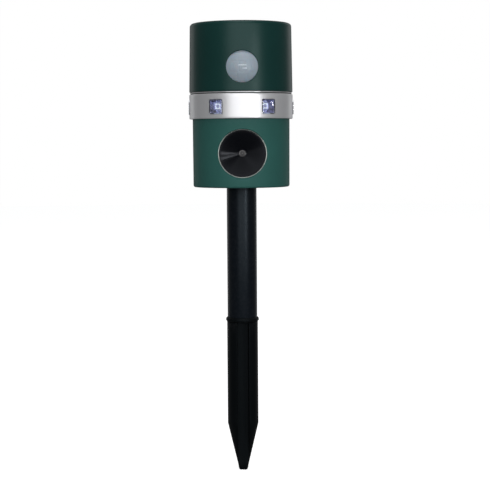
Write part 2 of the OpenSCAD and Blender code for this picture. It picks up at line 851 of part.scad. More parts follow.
module board_parts() {
    color([0.12, 0.12, 0.13]) {
        translate([-20, 4, board_top]) cube([8, 8, 1.8]);
        translate([10, 2, board_top]) cube([6, 5, 1.6]);
        translate([-14, -24, board_top]) cylinder(r = 3.2, h = 9, $fn = fn);
        translate([12, 24, board_top]) cylinder(r = 4, h = 11, $fn = fn);
        translate([-13, 22, board_top]) cube([6, 4, 5]);
    }
}

// Upright board behind the rear panel, linked to the main board by a row of pins
module control_board() {
    color(board_green) difference() {
        block(0, (control_low + control_high) / 2, 2 * control_half, control_high - control_low,
            control_y, control_y + board_t);
        for (p = control_screws())
            bar_y(p.x, p.y, small_shank_r + push_fit, control_y - overlap, control_y + board_t + overlap);
        bar_y(0, dial_z, shaft_r + free_gap, control_y - overlap, control_y + board_t + overlap);
    }
    color(steel) for (k = [-2 : 2])
        translate([2.54 * k - 0.3, control_y - 0.6, control_high - 4])
            cube([0.6, 0.6, board_z - control_high + 4]);
}

// ---- Rear controls ----

module mode_dial() {
    flutes = 20;
    back_y = panel_y + free_gap;
    color(black) difference() {
        union() {
            bar_y(0, dial_z, dial_r, back_y, back_y + dial_h - 1);
            bar_y(0, dial_z, dial_r - 0.8, back_y, back_y + dial_h);
        }
        for (k = [0 : flutes - 1])
            bar_y(dial_r * 1.03 * cos(360 * k / flutes), dial_z + dial_r * 1.03 * sin(360 * k / flutes),
                0.7, back_y + 1.2, back_y + dial_h + overlap);
        block(0, dial_z + dial_r * 0.55, 1.4, dial_r * 0.6, back_y + dial_h - 0.6, back_y + dial_h + overlap);
        bar_y(0, dial_z, shaft_r + push_fit, back_y - overlap, back_y + dial_h - 1.5);
    }
}

module mode_shaft() {
    color(steel) bar_y(0, dial_z, shaft_r, control_y + board_t + 1, panel_y + free_gap + dial_h - 1.6);
}

module mode_switch() {
    color([0.15, 0.15, 0.16]) difference() {
        block(0, dial_z, switch_w, switch_w, control_y + board_t, control_y + board_t + switch_t);
        bar_y(0, dial_z, shaft_r + push_fit,
              control_y + board_t + 0.9, control_y + board_t + switch_t + overlap);
    }
}

module power_button() {
    flange_y = panel_in - free_gap - 1;
    stem_end = control_y + board_t + key_t - 0.8;
    color([0.25, 0.25, 0.26]) {
        bar_y(button_x, port_z, button_r, flange_y, panel_y + button_travel + 0.3);
        bar_y(button_x, port_z, button_r + 1, flange_y, flange_y + 1);
        bar_y(button_x, port_z, stem_r, stem_end, flange_y + 0.5);
    }
}

module button_switch() {
    color(steel) difference() {
        block(button_x, port_z, key_w, key_w, control_y + board_t, control_y + board_t + key_t);
        bar_y(button_x, port_z, key_bore, control_y + board_t + 1, control_y + board_t + key_t + overlap);
    }
}

module charge_socket() {
    y0 = control_y + board_t;
    color(steel) difference() {
        block(port_x, port_z, shell_w, shell_h, y0, y0 + shell_len);
        block(port_x, port_z, shell_w - 0.7, shell_h - 0.7, y0 + 1, y0 + shell_len + overlap);
    }
    color(black) block(port_x, port_z, 6.6, 0.7, y0 + 0.9, y0 + shell_len - 0.8);
}

// Flap over the charging port, on two stub pins at its top corners
module charge_flap() {
    color([0.1, 0.1, 0.1]) {
        block(port_x, (port_z - flap_h / 2 + pin_z) / 2, flap_w, pin_z - port_z + flap_h / 2,
            pin_y - flap_t / 2, pin_y + flap_t / 2);
        translate([port_x, pin_y, pin_z]) rotate([0, 90, 0]) {
            cylinder(r = flap_t / 2, h = flap_w, center = true, $fn = fn);
            cylinder(r = pin_r, h = flap_w + 2 * pin_len, center = true, $fn = fn);
        }
        block(port_x, port_z - flap_h / 2 + 0.6, 6, 1.2, pin_y, pin_y + flap_t / 2 + 0.9);
    }
}

// ---- Leads ----

module solar_lead() { color([0.7, 0.1, 0.1]) lead(solar_route); }
module battery_lead() { color([0.7, 0.1, 0.1]) lead(battery_route); }
module speaker_lead() { color([0.7, 0.1, 0.1]) lead(speaker_route); }
module pir_lead() { color([0.7, 0.1, 0.1]) lead(pir_route); }

stake();
pole_tube();
pole_cap();
lower_housing();
led_band();
head_shell();
head_seal();
body_seal();
housing_screws();
small_screws();
for (i = [0 : 5]) {
    led_window(i);
    led_reflector(i);
    flash_led(i);
}
pir_lens();
sensor_shroud();
pir_sensor();
pir_board();
solar_cover();
solar_panel();
solar_gasket();
battery_cell();
battery_cradle();
battery_contacts();
speaker_rim();
speaker_cone();
speaker_cap();
speaker_frame();
speaker_element();
speaker_gasket();
speaker_clamp();
main_board();
driver_transformer();
board_parts();
control_board();
mode_dial();
mode_shaft();
mode_switch();
power_button();
button_switch();
charge_socket();
charge_flap();
solar_lead();
battery_lead();
speaker_lead();
pir_lead();
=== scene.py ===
import bpy
import bmesh
import json
import math
from mathutils import Matrix, Vector


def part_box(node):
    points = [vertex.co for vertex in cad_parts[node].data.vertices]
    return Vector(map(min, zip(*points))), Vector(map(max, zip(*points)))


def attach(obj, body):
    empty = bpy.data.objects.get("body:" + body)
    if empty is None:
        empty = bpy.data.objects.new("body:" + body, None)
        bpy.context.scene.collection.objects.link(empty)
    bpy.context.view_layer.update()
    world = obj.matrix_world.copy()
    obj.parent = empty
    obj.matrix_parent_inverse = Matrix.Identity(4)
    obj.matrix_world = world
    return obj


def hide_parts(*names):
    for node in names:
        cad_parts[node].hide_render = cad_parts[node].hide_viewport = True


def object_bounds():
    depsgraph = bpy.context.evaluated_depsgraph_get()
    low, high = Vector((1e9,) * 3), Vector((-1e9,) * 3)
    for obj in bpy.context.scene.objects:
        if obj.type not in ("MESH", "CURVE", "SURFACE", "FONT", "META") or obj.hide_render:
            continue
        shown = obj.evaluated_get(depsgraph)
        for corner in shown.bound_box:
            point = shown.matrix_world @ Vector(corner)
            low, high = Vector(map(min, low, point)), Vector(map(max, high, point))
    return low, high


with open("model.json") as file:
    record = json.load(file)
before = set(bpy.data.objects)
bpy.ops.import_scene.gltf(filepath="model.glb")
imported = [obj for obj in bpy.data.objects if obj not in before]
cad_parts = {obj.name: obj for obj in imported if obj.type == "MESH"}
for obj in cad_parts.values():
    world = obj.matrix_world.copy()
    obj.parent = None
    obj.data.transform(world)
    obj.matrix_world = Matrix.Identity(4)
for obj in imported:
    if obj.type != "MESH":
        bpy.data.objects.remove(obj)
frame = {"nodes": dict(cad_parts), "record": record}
cadBox = [list(c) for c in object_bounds()]
mm = 0.001
unitBody, groundBody = "unit", "ground"
upright = Matrix.Identity(4)
print("frame loaded")

# shapes are worked out in millimetres; settle turns them into metres


def low(node):
    return Vector(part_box(node)[0]) / mm


def high(node):
    return Vector(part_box(node)[1]) / mm


def middle(node):
    return (low(node) + high(node)) / 2


def turned(angle, axis="Z"):
    return Matrix.Rotation(math.radians(angle), 4, axis)


def moved(x, y, z):
    return Matrix.Translation((x, y, z))


def facing(x, depth, z, angle=0):
    # local +Z points out of the front at [x, z], turned round the axis
    return turned(angle) @ moved(x, -depth, z) @ turned(90, "X")


def ringSpots(radius, angles):
    return [(radius * math.sin(math.radians(a)), -radius * math.cos(math.radians(a))) for a in angles]


def spacedLevels(start, end, count):
    return [start + (end - start) * i / count for i in range(count + 1)]


def arcPoints(centre, radius, start, end, steps):  # angles in degrees
    turns = [math.radians(a) for a in spacedLevels(start, end, steps)]
    return [(centre[0] + radius * math.cos(a), centre[1] + radius * math.sin(a)) for a in turns]


def softCorners(corners, steps=4, closed=True):
    # corners are (x, y, rounding); each rounded one becomes a short curve
    out, n = [], len(corners)
    handle = 0.5523  # makes the curve a near circle
    for i, (x, y, r) in enumerate(corners):
        if r <= 0 or (not closed and i in (0, n - 1)):
            out.append((x, y))
            continue
        here = Vector((x, y))
        before = Vector(corners[i - 1][:2]) - here
        after = Vector(corners[(i + 1) % n][:2]) - here
        turn = before.angle(after)
        reach = min(r / math.tan(turn / 2), before.length * 0.49, after.length * 0.49)
        a, b = here + before.normalized() * reach, here + after.normalized() * reach
        p1, p2 = a.lerp(here, handle), b.lerp(here, handle)
        for k in range(steps + 1):
            t = k / steps
            p = a * (1 - t) ** 3 + p1 * 3 * t * (1 - t) ** 2 + p2 * 3 * t * t * (1 - t) + b * t ** 3
            out.append((p.x, p.y))
    return out


def boxOutline(width, height, corner):
    w, h = width / 2, height / 2
    return softCorners([(-w, -h, corner), (w, -h, corner), (w, h, corner), (-w, h, corner)])


def addFace(bm, verts):
    # skips corners that fall together, as on the axis
    corners = []
    for v in verts:
        if v not in corners:
            corners.append(v)
    if len(corners) > 2:
        bm.faces.new(corners)


def joinRings(bm, rings, closed=False):
    # faces between neighbouring rings; a ring may be a single vertex
    for one, two in zip(rings, rings[1:] + rings[:1] if closed else rings[1:]):
        a, b = len(one), len(two)
        for k in range(max(a, b)):
            addFace(bm, (one[k % a], one[(k + 1) % a], two[(k + 1) % b], two[k % b]))


def capEnds(bm, rings):
    bm.faces.new(list(reversed(rings[0])))
    bm.faces.new(rings[-1])


def lathe(bm, profile, segments=128, closed=True, place=upright):
    # profile is (radius, height); a point on the axis becomes one vertex
    rings = []
    for r, z in profile:
        count = 1 if r < 1e-6 else segments
        turns = [2 * math.pi * k / segments for k in range(count)]
        rings.append([bm.verts.new(place @ Vector((r * math.sin(a), -r * math.cos(a), z))) for a in turns])
    joinRings(bm, rings, closed)


def stack(bm, levels, place=upright):
    # one ring of vertices for each level's (outline, scale, height)
    return [[bm.verts.new(place @ Vector((x * scale, y * scale, z))) for x, y in outline]
            for outline, scale, z in levels]


def prism(bm, outline, levels, place=upright):
    # a closed stack: outline scaled by each level's (scale, height)
    rings = stack(bm, [(outline, scale, z) for scale, z in levels], place)
    joinRings(bm, rings)
    capEnds(bm, rings)


def softBox(bm, size, corner, place):
    # block with all its edges eased
    verts = bmesh.ops.create_cube(bm, size=1)["verts"]
    bmesh.ops.scale(bm, vec=Vector(size), verts=verts)
    if corner > 0:
        edges = list({e for v in verts for e in v.link_edges})
        cut = bmesh.ops.bevel(bm, geom=edges, offset=corner, segments=2, profile=0.5, affect="EDGES")
        verts = list({v for f in cut["faces"] for v in f.verts} | {v for v in verts if v.is_valid})
    bmesh.ops.transform(bm, matrix=place, verts=[v for v in verts if v.is_valid])


def turnedPiece(name, profile, segments, closed, place, body, slot, replaces=(), **shown):
    # a whole piece made by turning one profile
    bm = bmesh.new()
    lathe(bm, profile, segments, closed, place)
    settle(name, bm, body, slot, replaces, **shown)


def newPiece(name, bm, sharp=None):
    # a linked object from the mesh, smooth up to the sharp angle
    mesh = bpy.data.meshes.new(name)
    bm.to_mesh(mesh)
    bm.free()
    smoothTo(mesh, sharp)
    piece = bpy.data.objects.new(name, mesh)
    bpy.context.scene.collection.objects.link(piece)
    return piece


def smoothTo(mesh, sharp):
    if sharp:
        mesh.polygons.foreach_set("use_smooth", [True] * len(mesh.polygons))
        mesh.set_sharp_from_angle(angle=math.radians(sharp))


def cutHoles(piece, radius, spots, zLow, zHigh, sharp=32):
    # round holes through a flat floor
    bm = bmesh.new()
    for x, y in spots:
        lathe(bm, [(0, zLow), (radius, zLow), (radius, zHigh), (0, zHigh)], 48, False,
              moved(x, y, 0))
    bmesh.ops.recalc_face_normals(bm, faces=bm.faces)
    bmesh.ops.scale(bm, vec=Vector((mm, mm, mm)), verts=bm.verts)
    cutter = newPiece("cutter", bm)
    cut = piece.modifiers.new("holes", "BOOLEAN")
    cut.object = cutter
    cut.operation = "DIFFERENCE"
    shaped = bpy.data.meshes.new_from_object(piece.evaluated_get(bpy.context.evaluated_depsgraph_get()))
    piece.modifiers.remove(cut)
    piece.data = shaped
    smoothTo(shaped, sharp)
    bpy.data.objects.remove(cutter)


def settle(name, bm, body, slot, replaces=(), sharp=32, look=None):
    # turns millimetre geometry into a shown piece that rides on a body
    bmesh.ops.remove_doubles(bm, verts=bm.verts, dist=0.0005)
    bmesh.ops.recalc_face_normals(bm, faces=bm.faces)
    bmesh.ops.scale(bm, vec=Vector((mm, mm, mm)), verts=bm.verts)
    piece = newPiece(name, bm, sharp)
    piece.data.materials.append(look or slotFinishes[slot])
    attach(piece, body)
    if replaces:
        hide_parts(*replaces)
    return piece


def newGroup(name, inputs, outputs):
    # inputs and outputs are (name, kind, default)
    group = bpy.data.node_groups.new(name, "ShaderNodeTree")
    for label, kind, value in inputs:
        socket = group.interface.new_socket(label, in_out="INPUT", socket_type="NodeSocket" + kind)
        socket.default_value = value
    for label, kind in outputs:
        group.interface.new_socket(label, in_out="OUTPUT", socket_type="NodeSocket" + kind)
    return group, group.nodes.new("NodeGroupInput"), group.nodes.new("NodeGroupOutput")


def feed(tree, socket, value):
    # a socket is linked, a plain value is set
    if hasattr(value, "is_linked"):
        tree.links.new(value, socket)
    else:
        socket.default_value = value


def node(tree, kind, inputs=None, **values):
    made = tree.nodes.new("ShaderNode" + kind)
    for label, value in values.items():
        setattr(made, label, value)
    for label, value in (inputs or {}).items():
        feed(tree, made.inputs[label], value)
    return made


def noise(tree, vector, scale, detail, rough):
    inputs = {"Vector": vector, "Scale": scale, "Detail": detail, "Roughness": rough}
    return node(tree, "TexNoise", inputs).outputs["Fac"]


def maths(tree, kind, a, b, clamp=False):
    return node(tree, "Math", {0: a, 1: b}, operation=kind, use_clamp=clamp).outputs[0]


def ramp(tree, value, lowAt, highAt):
    inputs = {"Value": value, "From Min": lowAt, "From Max": highAt}
    return node(tree, "MapRange", inputs, clamp=True).outputs["Result"]


def blendColour(tree, amount, a, b):
    made = node(tree, "Mix", data_type="RGBA")
    for label, value in (("Factor", amount), ("A", a), ("B", b)):
        feed(tree, [s for s in made.inputs if s.name == label and s.enabled][0], value)
    return [s for s in made.outputs if s.enabled][0]


def objectPlace(tree):
    return node(tree, "TexCoord").outputs["Object"]


def splitUp(tree, vector):
    return node(tree, "SeparateXYZ", {0: vector}).outputs


def makeMouldGrain():
    # fine spark texture of a moulding tool: height, gloss variation and slight mottling
    tree, source, sink = newGroup(
        "mouldGrain",
        [("Grain Scale", "Float", 2500.0), ("Roughness", "Float", 0.4), ("Spread", "Float", 0.08)],
        [("Height", "Float"), ("Roughness", "Float"), ("Mottle", "Float")])
    place = objectPlace(tree)
    fine = noise(tree, place, source.outputs["Grain Scale"], 2.0, 0.6)
    cloud = noise(tree, place, 38.0, 4.0, 0.6)
    tree.links.new(fine, sink.inputs["Height"])
    swing = maths(tree, "MULTIPLY", maths(tree, "SUBTRACT", cloud, 0.5), source.outputs["Spread"])
    tree.links.new(maths(tree, "ADD", source.outputs["Roughness"], swing, True), sink.inputs["Roughness"])
    tree.links.new(ramp(tree, cloud, 0.3, 0.7), sink.inputs["Mottle"])
    return tree


def maskGroup(name, amount, scaleName, scale, markAt):
    # a group that puts out one mask, the marks times their amount
    tree, source, sink = newGroup(
        name, [("Amount", "Float", amount), (scaleName, "Float", scale)], [("Mask", "Float")])
    marks = markAt(tree, source.outputs[scaleName])
    tree.links.new(maths(tree, "MULTIPLY", marks, source.outputs["Amount"], True), sink.inputs["Mask"])
    return tree


def wornEdges(tree, scale):
    # handling polish and fine nicks along outside edges
    edge = ramp(tree, node(tree, "NewGeometry").outputs["Pointiness"], 0.505, 0.56)
    nicks = ramp(tree, noise(tree, objectPlace(tree), scale, 5.0, 0.7), 0.45, 0.68)
    return maths(tree, "MULTIPLY", edge, nicks)


def dustPatches(tree, scale):
    # pale dust that settles on surfaces that face up
    facingUp = ramp(tree, splitUp(tree, node(tree, "NewGeometry").outputs["Normal"])["Z"], 0.25, 1.0)
    patches = ramp(tree, noise(tree, objectPlace(tree), scale, 6.0, 0.65), 0.35, 0.8)
    return maths(tree, "MULTIPLY", facingUp, patches)


def wipeMarks(tree, scale):
    # hairline marks from wiping, in two crossing directions
    marks = []
    for stretch, turn in (((1.0, 1.0, 0.03), 0.5), ((0.04, 1.0, 1.0), 1.1)):
        aim = node(tree, "Mapping", {"Scale": stretch, "Rotation": (turn * 0.4, turn * 0.7, turn),
                                     "Vector": objectPlace(tree)}).outputs[0]
        marks.append(ramp(tree, noise(tree, aim, scale, 2.0, 0.5), 0.66, 0.74))
    return maths(tree, "ADD", *marks, True)


mouldGrain = makeMouldGrain()
edgeWear = maskGroup("edgeWear", 0.5, "Nick Scale", 420.0, wornEdges)
dustFilm = maskGroup("dustFilm", 0.2, "Patch Scale", 60.0, dustPatches)
fineScratches = maskGroup("fineScratches", 0.3, "Scale", 900.0, wipeMarks)


def useGroup(tree, group, **values):
    made = tree.nodes.new("ShaderNodeGroup")
    made.node_tree = group
    for label, value in values.items():
        made.inputs[label.replace("_", " ")].default_value = value
    return made.outputs


def rgba(colour):
    return (*colour, 1.0)


def finish(name, colour, rough=0.4, metal=0.0, grain=2500.0, bump=0.05, spread=0.08,
           wear=0.0, wearColour=(0.3, 0.3, 0.3), dust=0.0, dustColour=(0.42, 0.4, 0.36),
           scratch=0.0, mottle=0.08, fixed=None):
    # one moulded, painted or metal finish; fixed holds values set straight on the shader
    made = bpy.data.materials.new(name)
    made.use_nodes = True
    tree = made.node_tree
    grainOut = useGroup(tree, mouldGrain, Grain_Scale=grain, Roughness=rough, Spread=spread)
    deep, light = [[min(1.0, c * share) for c in colour] for share in (1 - mottle, 1 + mottle)]
    base = blendColour(tree, grainOut["Mottle"], rgba(deep), rgba(light))
    roughness = grainOut["Roughness"]
    if wear:
        base = blendColour(tree, useGroup(tree, edgeWear, Amount=wear)["Mask"], base, rgba(wearColour))
    if scratch:
        marks = useGroup(tree, fineScratches, Amount=scratch)["Mask"]
        roughness = maths(tree, "ADD", roughness, maths(tree, "MULTIPLY", marks, 0.35), True)
    if dust:
        film = useGroup(tree, dustFilm, Amount=dust)["Mask"]
        base = blendColour(tree, film, base, rgba(dustColour))
        roughness = maths(tree, "ADD", roughness, maths(tree, "MULTIPLY", film, 0.5), True)
    values = {"Base Color": base, "Roughness": roughness, "Metallic": metal, **(fixed or {})}
    if bump:
        values["Normal"] = node(tree, "Bump", {"Strength": bump, "Distance": 0.0004,
                                               "Height": grainOut["Height"]}).outputs[0]
    for label, value in values.items():
        feed(tree, tree.nodes["Principled BSDF"].inputs[label], value)
    return made


# one green plastic in two finishes: the textures are real, the darker and lighter base colours are painted
# shade and painted light
greenLitAndShaded = {
    "head": (0.0045, 0.036, 0.032),      # smooth moulding; its darker base is painted shade on the same green as the housing
    "housing": (0.029, 0.119, 0.104),    # finely textured moulding; its lighter base is painted light on the same green as the head
}


def makeConeBlack():
    # glossy ridged cone: the fine turned rings stretch each reflection into a radial streak
    made = finish("coneBlack", (0.0016, 0.0021, 0.0036), rough=0.21, grain=2600, bump=0.01, spread=0.02,
                  fixed={"Anisotropic": 0.95, "Anisotropic Rotation": 0.25, "Specular IOR Level": 0.125,
                         "Specular Tint": (0.88, 0.92, 1.0, 1.0)})
    tree = made.node_tree
    around = node(tree, "Tangent", direction_type="RADIAL", axis="Y").outputs[0]
    feed(tree, tree.nodes["Principled BSDF"].inputs["Tangent"], around)
    return made


def makeSolarBlue():
    # cell surface: near black blue with a crystalline mottle and fine silver fingers
    made = finish("solarBlue", (0.006, 0.010, 0.040), rough=0.18, grain=700, bump=0.02, mottle=0.35)
    tree, fingerPitch = made.node_tree, 1.6 * mm
    socket = tree.nodes["Principled BSDF"].inputs["Base Color"]
    wave = maths(tree, "PINGPONG", splitUp(tree, objectPlace(tree))["X"], fingerPitch / 2)
    finger = ramp(tree, wave, 0.07 * mm, 0.05 * mm)
    feed(tree, socket, blendColour(tree, finger, socket.links[0].from_socket, (0.30, 0.31, 0.34, 1.0)))
    return made


# one finish for each material slot, for the pieces and for the carried-over CAD nodes
slotFinishes = {
    "stake_plastic": finish("stakeBlack", (0.0022, 0.003, 0.0036), rough=0.45, grain=1500, bump=0.08,
            spread=0.10, wear=0.35, wearColour=(0.03, 0.03, 0.032), dust=0.02,
            fixed={"Specular IOR Level": 0.09, "Specular Tint": (0.75, 0.9, 1.0, 1.0)}),
    "pole_black": finish("poleBlack", (0.0028, 0.0042, 0.0072), rough=0.34, grain=1800, bump=0.04,
            spread=0.08, wear=0.3, wearColour=(0.06, 0.06, 0.065), scratch=0.2,
            fixed={"Specular IOR Level": 0.22, "Specular Tint": (0.72, 0.88, 1.0, 1.0)}),
    "cap_plastic": finish("capPlastic", (0.05, 0.05, 0.052), rough=0.5, grain=1800, bump=0.05),
    "housing_green": finish("housingGreen", greenLitAndShaded["housing"], rough=0.58, grain=2200, bump=0.09,
            spread=0.08, wear=0.25, wearColour=(0.09, 0.17, 0.16), dust=0.06, mottle=0.05,
            fixed={"Specular IOR Level": 0.24, "Specular Tint": (0.8, 1.0, 0.98, 1.0)}),
    "head_green": finish("headGreen", greenLitAndShaded["head"], rough=0.36, grain=3000, bump=0.03, spread=0.06,
            wear=0.25, wearColour=(0.05, 0.11, 0.10), dust=0.06, mottle=0.05,
            fixed={"Specular IOR Level": 0.3, "Specular Tint": (0.8, 1.0, 0.98, 1.0)}),
    "band_silver": finish("bandSilver", (0.80, 0.80, 0.82), rough=0.38, metal=0.66, grain=4200, bump=0.03,
            spread=0.05, wear=0.2, wearColour=(0.75, 0.75, 0.77), mottle=0.03),
    "seal_rubber": finish("sealRubber", (0.012, 0.012, 0.012), rough=0.75, grain=1500, bump=0.1),
    "screw_steel": finish("screwSteel", (0.50, 0.50, 0.52), rough=0.30, metal=1.0, grain=3500, bump=0.03,
            wear=0.2, wearColour=(0.75, 0.75, 0.77)),
    "window_clear": finish("windowClear", (0.93, 0.95, 1.0), rough=0.03, bump=0, spread=0.02, mottle=0.01,
            fixed={"Transmission Weight": 1.0, "IOR": 1.49}),
    "reflector_silver": finish("reflectorSilver", (0.36, 0.37, 0.52), rough=0.16, metal=1.0, grain=2600,
            bump=0.02, spread=0.06, mottle=0.05),
    # painted glow: a faint emission makes the lamp face look lit from within
    "flash_white": finish("flashWhite", (0.86, 0.90, 0.96), rough=0.25, grain=1800, bump=0.02,
            mottle=0.03, fixed={"Emission Color": (0.75, 0.85, 1.0, 1.0), "Emission Strength": 0.6}),
    "lens_milky": finish("lensMilky", (0.37, 0.44, 0.51), rough=0.34, grain=1400, bump=0.05, spread=0.06,
            mottle=0.05, fixed={"Subsurface Weight": 0.15, "Subsurface Scale": 0.002, "IOR": 1.5}),
    "dark_plastic": finish("darkPlastic", (0.015, 0.015, 0.016), rough=0.55, grain=1500, bump=0.07),
    "board_green": finish("boardGreen", (0.015, 0.13, 0.055), rough=0.35, grain=900, bump=0.05,
            mottle=0.15),
    "cover_clear": finish("coverClear", (0.96, 0.98, 1.0), rough=0.04, bump=0, spread=0.03, mottle=0.01,
            scratch=0.15, fixed={"Transmission Weight": 1.0, "IOR": 1.49}),
    "solar_cells": makeSolarBlue(),
    "cell_wrap": finish("cellWrap", (0.02, 0.12, 0.38), rough=0.25, grain=900, bump=0.04),
    "rim_metal": finish("rimMetal", (0.46, 0.52, 0.49), rough=0.3, metal=0.9, grain=4000, bump=0.02,
            spread=0.05, wear=0.2, wearColour=(0.6, 0.62, 0.6)),
    "cone_black": makeConeBlack(),
    "piezo_brass": finish("piezoBrass", (0.68, 0.50, 0.22), rough=0.3, metal=1.0, grain=2800, bump=0.03),
    "transformer_core": finish("coreFerrite", (0.42, 0.33, 0.08), rough=0.5, grain=1200, bump=0.08,
            mottle=0.12),
    "part_black": finish("partBlack", (0.02, 0.02, 0.021), rough=0.45, grain=1700, bump=0.06),
    "dial_black": finish("dialBlack", (0.014, 0.014, 0.015), rough=0.45, grain=1900, bump=0.07, wear=0.4,
            wearColour=(0.07, 0.07, 0.07)),
    "button_grey": finish("buttonGrey", (0.055, 0.057, 0.06), rough=0.62, grain=1500, bump=0.08, wear=0.2,
            wearColour=(0.12, 0.12, 0.12)),
    "flap_rubber": finish("flapRubber", (0.015, 0.016, 0.016), rough=0.7, grain=1300, bump=0.1, dust=0.1),
    "lead_red": finish("leadRed", (0.32, 0.02, 0.02), rough=0.4, grain=1800, bump=0.05),
}
slotFinishes["sensor_metal"] = slotFinishes["screw_steel"]
# looks for small pieces that share a slot
capBlack = finish("capBlack", (0.014, 0.014, 0.016), rough=0.12, grain=3000, bump=0.02, spread=0.04,
    fixed={"Specular IOR Level": 1.0})
# pale finish of the lens ribs: a painted highlight, the bright dashes drawn as colour
lensRibPaintedHighlight = finish("lensRibPaintedHighlight", (0.80, 0.86, 0.92), rough=0.3, grain=1400, bump=0.05, mottle=0.05)
markWhite = finish("markWhite", (0.66, 0.68, 0.66), rough=0.5, grain=2400, bump=0.03, mottle=0.08)
busSilver = finish("busSilver", (0.62, 0.62, 0.64), rough=0.35, metal=1.0, grain=3000, bump=0.02)
panelWhite = finish("panelWhite", (0.62, 0.64, 0.66), rough=0.5, grain=1500, bump=0.04)
flashGel = finish("flashGel", (0.60, 0.62, 0.86), rough=0.2, grain=1800, bump=0.02, mottle=0.06)
print("finishes made")

for row in frame["record"]["subparts"]:
    cadMesh = frame["nodes"][row["node"]].data
    cadMesh.materials.clear()
    cadMesh.materials.append(slotFinishes[row["material_slot"]])


def circleOutline(radius):
    return lambda c, s: radius


def squareOutline(halfWidth, halfHeight, power):
    # a box with rounded corners, as a distance in each direction
    return lambda c, s: (abs(c / halfWidth) ** power + abs(s / halfHeight) ** power) ** (-1 / power)


def wrapped(angle):
    return angle - 360 if angle >= 180 else angle


def roundOpening(angle, span, z, outline, ease, outer, inner, outerAt, innerRadius, steps=()):
    # an opening through a turned wall; the span is its half width in degrees
    return {
        "angle": angle, "from": wrapped(angle - span), "to": wrapped(angle + span), "centre": (0, z),
        "outline": outline, "ease": ease, "outer": outer, "inner": inner, "steps": steps,
        "skin": lambda u, v: math.sqrt(outerAt(v) ** 2 - u * u),
        "innerSkin": lambda u, v: math.sqrt(max(0, innerRadius ** 2 - u * u)),
    }


def makeShell(bm, points, columns, openings, closed=False, flat=None):
    # points are a run of (radius, height) turned round the axis; each opening replaces a block of the
    # grid on the outside and the inside, and joins the two round an outline
    def skinPoint(t, i):
        r, z = points[i]
        x, y = r * math.sin(t), -r * math.cos(t)
        if flat and flat["low"] <= z <= flat["high"]:
            y = min(y, flat["inner"] if i >= flat["innerStart"] else flat["outer"])
        return Vector((x, y, z))

    turns = [math.radians(a) for a in columns]
    count = len(turns)
    grid = []
    for i, (r, z) in enumerate(points):
        if r < 1e-6:
            grid.append([bm.verts.new((0, 0, z))] * count)
        else:
            grid.append([bm.verts.new(skinPoint(t, i)) for t in turns])
    skipped = set()
    for hole in openings:
        k0, k1 = [min(range(count), key=lambda k: abs(turns[k] - math.radians(hole[end])))
                  for end in ("from", "to")]
        hole["columns"] = [k % count for k in range(k0, (k1 if k1 > k0 else k1 + count) + 1)]
        for block in (hole["outer"], hole["inner"]):
            skipped |= {(j, k) for j in range(min(block), max(block)) for k in hole["columns"][:-1]}
    for j in range(len(grid) if closed else len(grid) - 1):
        one, two = grid[j], grid[(j + 1) % len(grid)]
        for k in range(count):
            n = (k + 1) % count
            if (j, k) not in skipped:
                addFace(bm, (one[k], one[n], two[n], two[k]))
    for hole in openings:
        fillOpening(bm, grid, hole)


def fillOpening(bm, grid, hole):
    # rings run from the grid's outside block, over an eased edge, through the wall to the inside block
    def border(j0, j1):
        cols = hole["columns"]
        step = 1 if j1 > j0 else -1
        ring = [grid[j0][k] for k in cols]
        ring += [grid[j][cols[-1]] for j in range(j0 + step, j1, step)]
        ring += [grid[j1][k] for k in reversed(cols)]
        ring += [grid[j][cols[0]] for j in range(j1 - step, j0, -step)]
        return ring

    turn = turned(hole["angle"])
    back = turn.inverted()
    x0, z0 = hole["centre"]
    outside, inside = border(*hole["outer"]), border(*hole["inner"])
    local = [back @ v.co for v in outside]
    aims = [Vector((p.x - x0, p.z - z0)).normalized() for p in local]

    def ring(outline, grow, depthAt):
        made = []
        for a in aims:
            reach = outline(a.x, a.y) + grow
            u, v = x0 + a.x * reach, z0 + a.y * reach
            made.append(bm.verts.new(turn @ Vector((u, -depthAt(u, v), v))))
        return made

    def between(one, two, share, depthAt):
        made = []
        for a, b in zip(one, two):
            p = (back @ a.co).lerp(back @ b.co, share)
            made.append(bm.verts.new(turn @ Vector((p.x, -depthAt(p.x, p.z), p.z))))
        return made

    outline, ease = hole["outline"], hole["ease"]
    skin, inner, steps = hole["skin"], hole["innerSkin"], hole["steps"]
    edge = ring(outline, ease, skin)
    rings = [outside, between(outside, edge, 0.4, skin), between(outside, edge, 0.8, skin), edge]
    for a in (22.5, 45, 67.5, 90):
        grow = ease * (1 - math.sin(math.radians(a)))
        drop = ease * (1 - math.cos(math.radians(a)))
        rings.append(ring(outline, grow, lambda u, v, d=drop: skin(u, v) - d))
    for shape, depth in steps:  # ledges on the way in, such as a recess floor
        rings.append(ring(shape, 0, lambda u, v, d=depth: d))
    innerEdge = ring(steps[-1][0] if steps else outline, 0, inner)
    joinRings(bm, rings + [innerEdge, between(innerEdge, inside, 0.5, inner), inside])


def post(bm, radius, bore, start, end, place):
    # a moulded boss with a screw hole through it
    lathe(bm, [(bore, start), (radius, start), (radius, end), (bore, end)], 48, True, place)


head = {
    "wall": 2.6,
    "roof": 2.4,
    "lowerRadius": 43.1,       # at the open edge
    "upperRadius": 42.3,       # where the top's rounding starts
    "topRounding": 4.2,
    "lowerEdge": 0.45,
    "recessEdge": 0.5,         # easing of the rim round the solar cover
    "postRing": 31.5,
    "postRadius": 3.4,
    "postBore": 1.5,
    "postAngles": [60, 120, 240, 300],
    "ribThickness": 1.6,       # ribs that tie the posts to the wall
    "ribHeight": 11,
    "earSpread": 19.55,        # sensor screw bosses beside the lens
    "bossRadius": 2.7,
    "bossBore": 1.2,
    "lensOpening": 12.95,
    "lensEase": 0.35,
    "lensBlock": 15.6,         # half height of the wall's grid that gives way to the opening
    "lensSpan": 21,            # and its half width in degrees
}


